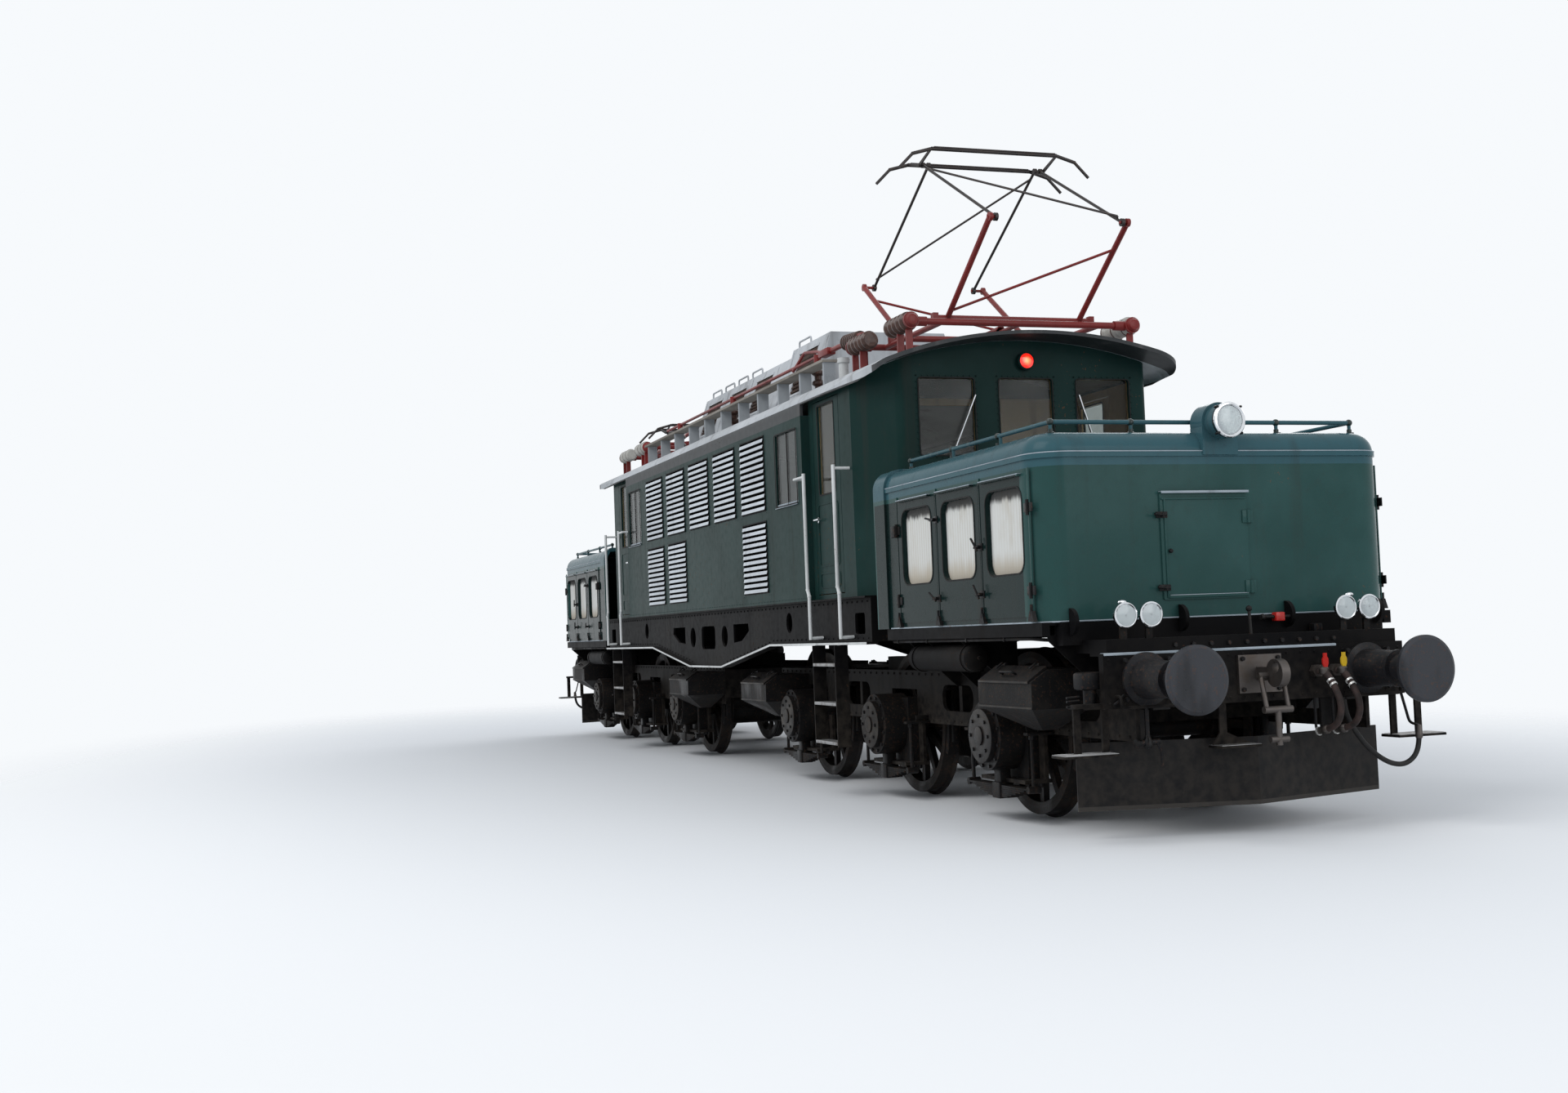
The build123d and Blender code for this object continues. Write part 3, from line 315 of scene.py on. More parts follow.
@dataclass(frozen=True)
class Paint:
    """Old gloss paint on steel sheet, with stains, streaks and chips."""

    name: str
    colour: Point
    faded: Point
    roughness: float = 0.32
    coat: float = 0.35
    dirt: Point = (0.035, 0.030, 0.026)
    dirt_amount: float = 0.45
    streaks: float = 0.35
    chips: float = 0.25
    chip_colour: Point = (0.16, 0.075, 0.035)
    waves: float = 0.25
    dust_top: float = 1.5
    zones: tuple[Zone, ...] = ()
    specular: float = 0.25

    def build(self) -> bpy.types.Material:
        """Make the paint's material."""
        g = ShaderGraph(self.name)
        cloud = g.noise(0.9, 5.0)
        fine = g.noise(14.0, 6.0)
        run = g.noise(5.0, 4.0, (1.0, 1.0, 0.07), 0.6)
        speck = g.noise(38.0, 3.0)
        worn = cloud.step(0.38, 0.66)
        colour = g.blend(worn, self.colour, self.faded)
        for zone in self.zones:
            colour = zone.over(g, colour)
        grime = (run.step(0.52, 0.74) * self.streaks + fine.step(0.5, 0.75) * 0.25 * self.dirt_amount).clamp()
        colour = g.blend(grime, colour, self.dirt)
        low = (1.0 - g.height().step(0.2, self.dust_top)) * self.dirt_amount
        colour = g.blend((low * fine.step(0.25, 0.7)).clamp(), colour, ROAD_DUST)
        shelf = g.facing_up().step(0.35, 0.95) * (fine * 0.5 + cloud * 0.5).step(0.2, 0.8) * self.dirt_amount
        colour = g.blend((shelf * 0.4).clamp(), colour, SHELF_DUST)
        chip = (speck * cloud.step(0.45, 0.6)).step(0.66 - 0.08 * self.chips, 0.70 - 0.06 * self.chips)
        colour = g.blend(chip * min(1.0, self.chips * 2.0), colour, self.chip_colour)
        rough = (fine * 0.18 + grime * 0.35 + chip * 0.4 + (self.roughness - 0.09)).clamp()
        level = g.noise(3.2, 2.0) * self.waves + g.noise(120.0, 1.0) * 0.02 - chip * 0.05
        g.set(Base_Color=colour, Roughness=rough, Coat_Weight=((1.0 - grime) * self.coat).clamp(),
              Coat_Roughness=0.08, Normal=g.bump(level, 0.35, 0.012), Specular_IOR_Level=self.specular)
        return g.material


@dataclass(frozen=True)
class Grime:
    """Steel or cast parts of the running gear under oil, soot and brake dust; on the running gear and the wheels the
    colours are also darkened as painted shade.
    """

    name: str
    colour: Point
    dust: Point
    metal: float = 0.2
    roughness: float = 0.62
    rust: float = 0.25
    pits: float = 0.4
    zones: tuple[Zone, ...] = ()

    def build(self) -> bpy.types.Material:
        """Make the grimy material."""
        g = ShaderGraph(self.name)
        patch = g.noise(6.0, 6.0)
        fine = g.noise(45.0, 4.0)
        oil = g.noise(2.5, 3.0, (1.0, 1.0, 0.35)).step(0.5, 0.62)
        up = g.facing_up().step(0.0, 0.9)
        colour = g.blend((patch.step(0.42, 0.68) * 0.65).clamp(), self.colour, self.dust)
        colour = g.blend((up * fine.step(0.3, 0.7) * 0.6).clamp(), colour, self.dust)
        for zone in self.zones:
            colour = zone.over(g, colour)
        colour = g.blend((fine.step(0.56, 0.66) * patch * self.rust * 2.0).clamp(), colour, RUST)
        colour = g.blend(oil * 0.55, colour, OIL)
        rough = (fine * 0.25 + (self.roughness - 0.1) - oil * 0.22).clamp()
        g.set(Base_Color=colour, Roughness=rough, Metallic=self.metal, Specular_IOR_Level=0.2,
              Normal=g.bump(fine * 0.6 + patch * 0.4, self.pits, 0.006))
        return g.material


@dataclass(frozen=True)
class Bright:
    """Bare or plated metal that stays fairly clean."""

    name: str
    colour: Point
    roughness: float = 0.3
    stain: float = 0.3
    metal: float = 1.0

    def build(self) -> bpy.types.Material:
        """Make the metal's material."""
        g = ShaderGraph(self.name)
        cloud = g.noise(11.0, 5.0)
        scratch = g.noise(70.0, 3.0, (1.0, 0.15, 1.0))
        colour = g.blend((cloud.step(0.45, 0.7) * self.stain).clamp(), self.colour, STAIN)
        rough = (scratch * 0.2 + cloud * 0.15 + (self.roughness - 0.15)).clamp()
        g.set(Base_Color=colour, Roughness=rough, Metallic=self.metal, Normal=g.bump(scratch, 0.15, 0.002))
        return g.material


@dataclass(frozen=True)
class Pane:
    """Clear or tinted glass, partly see-through, that still mirrors the sky."""

    name: str
    tint: Point = (0.35, 0.38, 0.37)
    clearness: float = 0.75
    dirt: float = 0.12

    def build(self) -> bpy.types.Material:
        """Make the glass's material."""
        g = ShaderGraph(self.name)
        smear = g.noise(5.0, 5.0)
        g.set(Base_Color=self.tint, Roughness=(smear * 0.08 + 0.02), Specular_IOR_Level=0.6, Coat_Weight=1.0,
              Coat_Roughness=0.02)
        clear = g.node("ShaderNodeBsdfTransparent", inputs={"Color": CLEAR})
        edge = g.wire(g.node("ShaderNodeFresnel", inputs={"IOR": 1.45}), 0)
        shine = ((1.0 - self.clearness) + edge * 0.55 + smear.step(0.45, 0.8) * self.dirt).clamp()
        g.cover(shine, g.wire(clear, 0), g.wire(g.shader, 0))
        return g.material


@dataclass(frozen=True)
class Plain:
    """Rubber, cloth, wood, ceramic and other surfaces with a mottled colour and a little relief."""

    name: str
    colour: Point
    second: Point
    roughness: float = 0.7
    size: float = 12.0
    stretch: Point = (1.0, 1.0, 1.0)
    relief: float = 0.2
    coat: float = 0.0
    glow: float = 0.0

    def build(self) -> bpy.types.Material:
        """Make the material."""
        g = ShaderGraph(self.name)
        mottle = g.noise(self.size, 5.0, self.stretch)
        fine = g.noise(self.size * 9.0, 3.0, self.stretch)
        colour = g.blend((mottle.step(0.35, 0.7) * 0.8 + fine * 0.2).clamp(), self.colour, self.second)
        g.set(Base_Color=colour, Roughness=(fine * 0.2 + (self.roughness - 0.1)).clamp(), Coat_Weight=self.coat,
              Specular_IOR_Level=0.25, Normal=g.bump(mottle * 0.5 + fine * 0.5, self.relief, 0.003))
        if self.glow:
            g.set(Emission_Color=self.colour, Emission_Strength=self.glow)
        return g.material


@dataclass(frozen=True)
class Cloth:
    """Pleated blinds behind the hood windows: pale folds with painted shade in their creases, a beige foot and a ragged
    dark top of painted shadow and grime.
    """

    name: str
    colour: Point
    low_colour: Point
    top_shadow_and_grime: Point
    low: float = RAIL + 1.90
    top: float = RAIL + 2.345
    fold: float = 0.022

    def build(self) -> bpy.types.Material:
        """Make the cloth's material."""
        g = ShaderGraph(self.name)
        x, _, z = g.corners()
        weave = g.noise(60.0, 4.0)
        stain = g.noise(7.0, 5.0, (1.0, 1.0, 0.4))
        ragged = z + (g.noise(16.0, 3.0, (1.0, 1.0, 0.1)) - 0.5) * 0.12
        folds = g.maths("PINGPONG", x, self.fold) * (1.0 / self.fold)
        colour = g.blend(stain.step(0.45, 0.8) * 0.5, self.colour, self.low_colour)
        colour = g.blend((1.0 - ragged.step(self.low - 0.06, self.low + 0.10)) * 0.8, colour, self.low_colour)
        # Darker creases between the folds: painted shade.
        colour = g.blend((1.0 - folds.step(0.0, 0.35)) * 0.35, colour, self.low_colour)
        # Ragged dark band along the top: painted shadow and grime.
        colour = g.blend(ragged.step(self.top - 0.02, self.top + 0.03) * 0.9, colour, self.top_shadow_and_grime)
        g.set(Base_Color=colour, Roughness=(weave * 0.1 + 0.8), Normal=g.bump(folds + weave * 0.2, 0.3, 0.006))
        return g.material


@dataclass(frozen=True)
class Lit:
    """A lit lens that is paler in its middle."""

    name: str
    colour: Point
    middle: Point
    height: float
    reach: float
    glow: float

    def build(self) -> bpy.types.Material:
        """Make the lens's material."""
        g = ShaderGraph(self.name)
        _, y, z = g.corners()
        away = (y * y + (z - self.height) * (z - self.height)) ** 0.5 / self.reach
        colour = g.blend((1.0 - away.step(0.0, 1.0)), self.colour, self.middle)
        g.set(Base_Color=colour, Emission_Color=colour, Emission_Strength=self.glow, Roughness=0.2, Coat_Weight=1.0)
        return g.material


CAB_LINING = (0.62, 0.40, 0.20)
ROOM_LINING = (0.085, 0.060, 0.042)
INSIDES = (Zone(CAB_LINING, x=(3.62, 5.33), y=(BELOW, 1.38), z=(1.79, 3.70), taper=(4.70, 0.323)),
           Zone(ROOM_LINING, x=(BELOW, 3.59), y=(BELOW, 1.466), z=(1.79, 3.60)))


class Finish(Enum):
    """Every finish on the locomotive, each with its recipe."""

    GREEN = Paint("green_body_paint", (0.0085, 0.0270, 0.0240), (0.0145, 0.0380, 0.0345), roughness=0.32, coat=0.01,
                  zones=INSIDES, specular=0.03)
    # HOOD_GREEN is a lighter copy of the body's green; its raised base colour is painted light on the hood's front.
    HOOD_GREEN = Paint("green_hood_paint_with_painted_light", (0.0220, 0.0640, 0.0590), (0.0320, 0.0840, 0.0790), roughness=0.24,
                       coat=0.05, specular=0.07, chips=0.2, streaks=0.25,
                       # Darker green on the hood's sides below the top roll: painted shade.
                       zones=(Zone((0.0055, 0.0165, 0.0155), x=(5.30, 8.02), z=(BELOW, RAIL + 2.50)),
                              # Bluish green on the hood's top roll: a painted reflection of the sky.
                              Zone((0.038, 0.098, 0.116), z=(RAIL + 2.535, 9.0)),
                              Zone((0.007, 0.007, 0.008), x=(8.3235, 8.60), z=(BELOW, 1.585))))
    FRAME_GREEN = Paint("dark_green_rail_paint", (0.008, 0.019, 0.017), (0.016, 0.030, 0.027), roughness=0.35, coat=0.3,
                        waves=0.02)
    # Pale blue-grey painted highlight: sky light on top edges, lips and ledges, painted into their colour.
    PAINTED_HIGHLIGHT = Paint("painted_highlight_blue_grey", (0.36, 0.41, 0.45), (0.20, 0.24, 0.27), roughness=0.5, coat=0.0,
                      dirt=(0.03, 0.03, 0.03), streaks=0.4, chips=0.35, waves=0.0)
    FRAME_BLACK = Paint("black_frame_paint", (0.0038, 0.0038, 0.0044), (0.0085, 0.0080, 0.0080), roughness=0.5,
                        coat=0.0, specular=0.04, dirt=(0.016, 0.014, 0.012), dirt_amount=0.5, streaks=0.3, chips=0.1)
    ROOF = Paint("silver_roof_paint", (0.50, 0.52, 0.54), (0.40, 0.42, 0.435), roughness=0.5, coat=0.0,
                 dirt=(0.16, 0.15, 0.145), dirt_amount=0.6, streaks=0.5, chips=0.12, waves=0.1,
                 zones=(Zone((0.030, 0.033, 0.035), z=(BELOW, 3.655)),
                        Zone((0.030, 0.033, 0.035), x=(5.36, FAR), upright=True)))
    LOUVRE = Paint("pale_louvre_paint", (0.60, 0.64, 0.67), (0.48, 0.51, 0.54), roughness=0.45, coat=0.05,
                   streaks=0.35, chips=0.1, waves=0.05)
    WHITE = Paint("white_line_paint", (0.66, 0.67, 0.66), (0.52, 0.53, 0.52), roughness=0.45, coat=0.1,
                  streaks=0.3, chips=0.2, waves=0.02)
    RED = Paint("red_roof_gear_paint", (0.20, 0.016, 0.014), (0.15, 0.018, 0.016), roughness=0.42, coat=0.1,
                streaks=0.3, chips=0.25, waves=0.02)
    SIGNAL_RED = Paint("signal_red_paint", (0.50, 0.015, 0.01), (0.40, 0.02, 0.015), roughness=0.4, waves=0.0)
    YELLOW = Paint("tap_yellow_paint", (0.65, 0.42, 0.02), (0.50, 0.32, 0.03), roughness=0.4, waves=0.0)
    # The running gear's and the wheels' colours are darker than their grime alone: painted shade standing in for the
    # dark ground under them.
    GEAR = Grime("running_gear_grime_and_shade", (0.0046, 0.0044, 0.0046), (0.0150, 0.0125, 0.0105))
    BUFFER = Grime("greased_buffers", (0.012, 0.012, 0.014), (0.030, 0.028, 0.027), roughness=0.5,
                   zones=(Zone((0.042, 0.044, 0.050), x=(9.20, 9.40)),))
    WHEEL = Grime("wheel_grime_and_shade", (0.010, 0.009, 0.0085), (0.032, 0.023, 0.017), metal=0.3)
    COVER = Grime("dusty_cover_plates", (0.035, 0.033, 0.031), (0.085, 0.076, 0.066), rust=0.15)
    DARK_IRON = Grime("dark_oiled_iron", (0.0065, 0.0065, 0.0075), (0.022, 0.0205, 0.019), metal=0.3, roughness=0.5)
    PLOUGH = Paint("plough_paint", (0.0070, 0.0070, 0.0078), (0.0150, 0.0145, 0.0148), roughness=0.5, coat=0.03,
                   dirt=(0.028, 0.025, 0.022), dirt_amount=0.25, streaks=0.25, chips=0.2, waves=0.15, specular=0.1,
                   zones=(Zone((0.040, 0.037, 0.034), z=(BELOW, 0.225)),))
    TREAD = Bright("worn_tread_steel", (0.34, 0.34, 0.34), 0.45, 0.7, 0.8)
    DULL_STEEL = Bright("dull_steel", (0.10, 0.09, 0.085), 0.5, 0.5)
    COPPER_STRIP = Bright("contact_strip", (0.05, 0.045, 0.045), 0.45, 0.3)
    CHROME = Bright("lamp_chrome", (0.72, 0.74, 0.76), 0.14, 0.15)
    CLAMP = Bright("zinc_hose_clamp", (0.62, 0.62, 0.60), 0.35, 0.3, 0.6)
    REFLECTOR = Bright("lamp_reflector", (0.86, 0.88, 0.90), 0.10, 0.02)
    LENS = Pane("lamp_lens", (0.75, 0.78, 0.80), 0.62, 0.05)
    WINDOW = Pane("window_glass", (0.05, 0.055, 0.055), 0.93, 0.05)
    RUBBER = Plain("black_rubber", (0.010, 0.010, 0.010), (0.022, 0.021, 0.020), 0.75)
    HOSE = Plain("brake_hose_rubber", (0.016, 0.013, 0.012), (0.050, 0.030, 0.026), 0.7)
    CABLE = Plain("heating_cable_rubber", (0.008, 0.008, 0.008), (0.024, 0.023, 0.022), 0.55)
    SCREEN = Cloth("pleated_screen", (0.66, 0.66, 0.63), (0.46, 0.40, 0.31), (0.030, 0.028, 0.026))
    PLANK = Paint("walkway_plank", (0.20, 0.18, 0.155), (0.30, 0.275, 0.24), roughness=0.85, coat=0.0, streaks=0.2,
                  chips=0.1, waves=0.1, zones=(Zone((0.34, 0.36, 0.375), z=(BELOW, 4.081)),))
    CERAMIC = Plain("brown_insulator_glaze", (0.040, 0.018, 0.013), (0.085, 0.040, 0.028), 0.32, 20.0, coat=0.2)
    PALE_CERAMIC = Plain("pale_insulator_glaze", (0.46, 0.45, 0.41), (0.34, 0.33, 0.30), 0.4, 20.0, coat=0.4)
    GRILLE = Plain("brown_grille", (0.030, 0.019, 0.015), (0.070, 0.040, 0.028), 0.8)
    RED_GLOW = Lit("lit_red_lens", (0.90, 0.020, 0.010), (1.0, 0.30, 0.08), 3.779, 0.050, 1.1)

    @property
    def material(self) -> bpy.types.Material:
        """The finish's material, made on first use."""
        return bpy.data.materials.get(self.value.name) or self.value.build()


class Drawn:
    """Something that is drawn in a with block and finished at its end."""

    def __enter__(self) -> Self:
        """Start drawing."""
        return self

    def __exit__(self, kind: type | None, error: BaseException | None, trace: object) -> None:
        """Finish it, unless the drawing failed."""
        if kind is None:
            self.done()

    def done(self) -> bpy.types.Object:
        """Turn what was drawn into an object."""
        raise NotImplementedError


def link(name: str, data: bpy.types.ID) -> bpy.types.Object:
    """Put an object with that data into the scene."""
    made = bpy.data.objects.new(name, data)
    bpy.context.scene.collection.objects.link(made)
    return made


def ball(radius: float, reach: float, steps: int) -> list[Pair]:
    """The profile of a ball of that radius that reaches that far along its axis both ways."""
    return [(radius * math.sin(math.pi * k / steps), -reach * math.cos(math.pi * k / steps)) for k in range(steps + 1)]


def rounded(points: Sequence[Sequence[float]], bend: float) -> list[Vector]:
    """The points of a path with its corners cut by short arcs.

    Args:
        points: the path's corners.
        bend: how far from a corner its arc starts.

    Returns:
        The path's points in order.
    """
    corners = [Vector(p) for p in points]
    if bend <= 0.0:
        return corners
    path = [corners[0]]
    for before, at, after in zip(corners, corners[1:], corners[2:]):
        reach = min(bend, (at - before).length * 0.45, (after - at).length * 0.45)
        a = at + (before - at).normalized() * reach
        b = at + (after - at).normalized() * reach
        path += [a.lerp(at, t).lerp(at.lerp(b, t), t) for t in (0.0, 0.25, 0.5, 0.75, 1.0)]
    return path + [corners[-1]]


def ring_outline(width: float, height: float, corner: float, steps: int = 5) -> list[Pair]:
    """A rounded rectangle's points, centred on the origin."""
    corner = min(corner, width / 2 - 1e-4, height / 2 - 1e-4)
    points = []
    for quarter, (sx, sy) in enumerate(((1, 1), (-1, 1), (-1, -1), (1, -1))):
        for k in range(steps + 1):
            a = math.pi / 2 * (quarter + k / steps)
            points.append((sx * (width / 2 - corner) + corner * math.cos(a),
                           sy * (height / 2 - corner) + corner * math.sin(a)))
    return points


class Piece(Drawn):
    """One mesh piece that shapes are added to, laid out from its origin in the model's frame."""

    def __init__(self, name: str, body: str, finish: Finish, slot: str, end: float = 1.0,
                 origin: Point = ORIGIN) -> None:
        """Start an empty piece.

        Args:
            name: the object's name.
            body: the body that it rides on.
            finish: its finish.
            slot: the record's material slot that it belongs to; it is not used.
            end: 1 for the place where it is drawn, -1 to turn it half round to the rear.
            origin: where its shapes are measured from.
        """
        self.name, self.body, self.finish, self.slot, self.end, self.origin = name, body, finish, slot, end, origin
        self.mesh = bmesh.new()

    def points(self, places: Iterable[Sequence[float]]) -> list[bmesh.types.BMVert]:
        """Add loose points."""
        return [self.mesh.verts.new(Vector(place)) for place in places]

    def skin(self, rings: Sequence[list[bmesh.types.BMVert]], closed: bool = False) -> None:
        """Join rings of points, or single points, with caps at both ends unless the skin closes on itself."""
        for lower, upper in zip(rings, rings[1:] + rings[:1] if closed else rings[1:]):
            for k in range(max(len(lower), len(upper))):
                corners = dict.fromkeys((lower[k % len(lower)], lower[(k + 1) % len(lower)],
                                         upper[(k + 1) % len(upper)], upper[k % len(upper)]))
                if len(corners) > 2:
                    self.mesh.faces.new(list(corners))
        for cap in () if closed else (rings[0][::-1], rings[-1]):
            if len(cap) > 2:
                self.mesh.faces.new(cap)

    def box(self, low: Sequence[float], high: Sequence[float], bevel: float = 0.0, turn: Matrix | None = None) -> None:
        """Add a box between two corners, with bevelled edges, turned about its centre."""
        low, high = Vector(low), Vector(high)
        size, centre = high - low, (low + high) / 2
        spin = (turn or Matrix.Identity(3)).to_4x4()
        where = Matrix.Translation(centre) @ spin @ Matrix.Diagonal((abs(size.x), abs(size.y), abs(size.z), 1.0))
        made = bmesh.ops.create_cube(self.mesh, size=1.0, matrix=where)
        if bevel:
            edges = list({e for v in made["verts"] for e in v.link_edges})
            bmesh.ops.bevel(self.mesh, geom=edges, offset=bevel, segments=2, affect="EDGES", profile=0.5)

    def boxes(self, bevel: float, *corners: Sequence[float]) -> None:
        """Add boxes, each given by the six coordinates of two corners."""
        for six in corners:
            self.box(six[:3], six[3:], bevel)

    def lathe(self, profile: Iterable[Pair], start: Sequence[float], axis: Sequence[float], steps: int = 24,
              ring: bool = False) -> None:
        """Turn a profile of (radius, distance) pairs about an axis through start.

        Args:
            profile: the radius and the distance along the axis of each ring.
            start: where the axis starts.
            axis: the way it points.
            steps: how many sides the rings have.
            ring: whether the profile closes on itself, instead of at both ends.
        """
        where = Matrix.Translation(start) @ Vector(axis).normalized().to_track_quat("Z", "Y").to_matrix().to_4x4()
        turns = [2 * math.pi * k / steps for k in range(steps)]
        self.skin([self.points([where @ Vector((radius * math.cos(a), radius * math.sin(a), along)) for a in turns]
                               if radius > 1e-6 else [where @ Vector((0, 0, along))])
                   for radius, along in profile], ring)

    def bar(self, start: Sequence[float], end: Sequence[float], radius: float, steps: int = 12) -> None:
        """Add a round bar between two points."""
        way = Vector(end) - Vector(start)
        self.lathe(((radius, 0.0), (radius, way.length)), start, way, steps)

    def rods(self, radius: float, steps: int, *ends: Sequence[float]) -> None:
        """Add round bars, each given by the six coordinates of its ends."""
        for six in ends:
            self.bar(six[:3], six[3:], radius, steps)

    def pipe(self, points: Sequence[Sequence[float]], radius: float, steps: int = 10, bend: float = 0.03) -> None:
        """Add a pipe through points, with its corners rounded."""
        path = rounded(points, bend)
        before, normal, rings = None, (path[1] - path[0]).orthogonal().normalized(), []
        turns = [2 * math.pi * k / steps for k in range(steps)]
        for k, at in enumerate(path):
            ahead = (path[min(k + 1, len(path) - 1)] - path[max(k - 1, 0)]).normalized()
            if before is not None:
                normal = before.rotation_difference(ahead) @ normal
            before = ahead
            side = ahead.cross(normal).normalized()
            rings.append(self.points(at + radius * (math.cos(a) * normal + math.sin(a) * side) for a in turns))
        self.skin(rings)

    def prism(self, outline: Sequence[Sequence[float]], push: Sequence[float]) -> None:
        """Add a flat outline of 3-D points pushed along a vector."""
        self.skin([self.points(outline), self.points(Vector(p) + Vector(push) for p in outline)])

    def frame(self, centre: Sequence[float], size: Pair, width: float, push: Sequence[float], corner: float) -> None:
        """Add a rounded window frame.

        Args:
            centre: the middle of the opening, on the wall's face.
            size: the opening's width and height.
            width: how wide the frame's face is.
            push: how far and which way it stands out, along X or Y.
            corner: the opening's corner radius.
        """
        across, up, out, middle = Vector(LEFT if push[0] else AHEAD), Vector(UP), Vector(push), Vector(centre)
        inner = ring_outline(size[0], size[1], corner)
        outer = ring_outline(size[0] + 2 * width, size[1] + 2 * width, corner + width)
        self.skin([self.points(middle + across * u + up * v + out * part for u, v in outline)
                   for outline, part in ((inner, 0.0), (inner, 1.0), (outer, 0.8), (outer, 0.0))], closed=True)

    def mirror(self) -> None:
        """Repeat everything that has been added so far on the other side."""
        mesh = self.mesh
        made = bmesh.ops.duplicate(mesh, geom=[*mesh.verts, *mesh.edges, *mesh.faces])["geom"]
        bmesh.ops.scale(mesh, vec=ACROSS, verts=[v for v in made if isinstance(v, bmesh.types.BMVert)])

    def done(self) -> bpy.types.Object:
        """Turn the shapes into an object that rides on its body."""
        bmesh.ops.recalc_face_normals(self.mesh, faces=self.mesh.faces)
        bmesh.ops.translate(self.mesh, vec=self.origin, verts=self.mesh.verts)
        if self.end < 0:
            bmesh.ops.rotate(self.mesh, verts=self.mesh.verts, matrix=Matrix.Rotation(math.pi, 3, "Z"))
        data = bpy.data.meshes.new(self.name)
        self.mesh.to_mesh(data)
        self.mesh.free()
        made = link(self.name, data)
        data.materials.append(self.finish.material)
        data.shade_smooth()
        data.set_sharp_from_angle(angle=math.radians(SMOOTH_BELOW))
        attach(made, self.body)
        LOG.info("%s on %s: %d faces", self.name, self.body, len(data.polygons))
        return made


class GrowTree(Graph):
    """Geometry Nodes that set a copy of one shape on every point, turned by the vector that it carries."""

    def __init__(self, name: str, inputs: Sequence[tuple[str, str]]) -> None:
        """Start the tree.

        Args:
            name: the tree's name.
            inputs: the name and kind of each input besides the points and the finish.
        """
        super().__init__(bpy.data.node_groups.new(name, "GeometryNodeTree"))
        self.sockets = {}
        for label, kind in (("Geometry", "Geometry"), ("Finish", "Material"), *inputs):
            made = self.tree.interface.new_socket(label, in_out="INPUT", socket_type=f"NodeSocket{kind}")
            self.sockets[label] = made.identifier
        self.tree.interface.new_socket("Geometry", in_out="OUTPUT", socket_type="NodeSocketGeometry")
        self.start = self.node("NodeGroupInput")
        self.carried = self.node("GeometryNodeInputNamedAttribute", {"data_type": "FLOAT_VECTOR"}, {"Name": "carried"})

    def copy(self, shape: bpy.types.NodeSocket, turn: bpy.types.NodeSocket) -> None:
        """Set the shape on every point, make the copies real and give them the finish."""
        copies = self.node("GeometryNodeInstanceOnPoints", inputs={"Points": self.start.outputs["Geometry"],
                                                                   "Instance": shape, "Rotation": turn})
        real = self.node("GeometryNodeRealizeInstances", inputs={0: copies.outputs[0]})
        dressed = self.node("GeometryNodeSetMaterial", inputs={"Geometry": real.outputs[0],
                                                               "Material": self.start.outputs["Finish"]})
        self.node("NodeGroupOutput", inputs={0: dressed.outputs[0]})

    def grow(self, name: str, body: str, slot: str, spots: Sequence[tuple[Vector, Vector]],
             **values: object) -> bpy.types.Object:
        """Grow the copies and keep them as a plain mesh.

        Args:
            name: the object's name.
            body: the body that it rides on.
            slot: the record's material slot; it is not used.
            spots: each copy's place and the vector that it carries.
            values: the tree's inputs by name.

        Returns:
            The finished object.
        """
        seed = bpy.data.meshes.new(f"{name}_spots")
        seed.from_pydata([spot for spot, _ in spots], [], [])
        carried = seed.attributes.new("carried", "FLOAT_VECTOR", "POINT")
        for k, (_, vector) in enumerate(spots):
            carried.data[k].vector = vector
        holder = link(f"{name}_spots", seed)
        modifier = holder.modifiers.new("copies", "NODES")
        modifier.node_group = self.tree
        for label, value in values.items():
            modifier[self.sockets[label]] = value
        data = bpy.data.meshes.new_from_object(holder.evaluated_get(bpy.context.evaluated_depsgraph_get()))
        bpy.data.objects.remove(holder)
        data.name = name
        made = link(name, data)
        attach(made, body)
        LOG.info("%s on %s: %d copies", name, body, len(spots))
        return made


class FastenerTree(GrowTree):
    """A rivet or bolt head on every point, along its facing."""

    def __init__(self, name: str) -> None:
        """Build the tree with inputs for the head's sizes."""
        super().__init__(name, (("Radius", "Float"), ("Height", "Float"), ("Taper", "Float"), ("Sides", "Int")))
        inputs = self.start.outputs
        top = self.node("ShaderNodeMath", {"operation": "MULTIPLY"}, {0: inputs["Radius"], 1: inputs["Taper"]})
        head = self.node("GeometryNodeMeshCone", inputs={"Vertices": inputs["Sides"], "Radius Top": top.outputs[0],
                                                         "Radius Bottom": inputs["Radius"],
                                                         "Depth": inputs["Height"]})
        turn = self.node("FunctionNodeAlignRotationToVector", {"axis": "Z"}, {"Vector": self.carried.outputs[0]})
        self.copy(head.outputs["Mesh"], turn.outputs[0])


class SlatTree(GrowTree):
    """A thin plate on every point, turned by the angles that it carries."""

    def __init__(self, name: str) -> None:
        """Build the tree with an input for the plate's size."""
        super().__init__(name, (("Size", "Vector"),))
        plate = self.node("GeometryNodeMeshCube", inputs={"Size": self.start.outputs["Size"]})
        self.copy(plate.outputs["Mesh"], self.carried.outputs[0])


@dataclass
class Copies(Drawn):
    """Many copies of one shape on one body, grown by Geometry Nodes."""

    name: str
    body: str
    finish: Finish
    slot: str
    tree: GrowTree
    end: float = 1.0
    origin: Point = ORIGIN
    spots: list[tuple[Vector, Vector]] = field(default_factory=list)

    def turned(self, vector: Sequence[float]) -> Vector:
        """A vector, turned half round for the rear end."""
        return Vector(vector) * Vector((self.end, self.end, 1.0))

    def place(self, spot: Sequence[float], carried: Vector) -> None:
        """Add one copy."""
        self.spots.append((self.turned(Vector(self.origin) + Vector(spot)), carried))

    def sizes(self) -> dict[str, object]:
        """The tree's inputs by name."""
        raise NotImplementedError

    def done(self) -> bpy.types.Object:
        """Grow the copies with the tree."""
        return self.tree.grow(self.name, self.body, self.slot, self.spots, Finish=self.finish.material, **self.sizes())


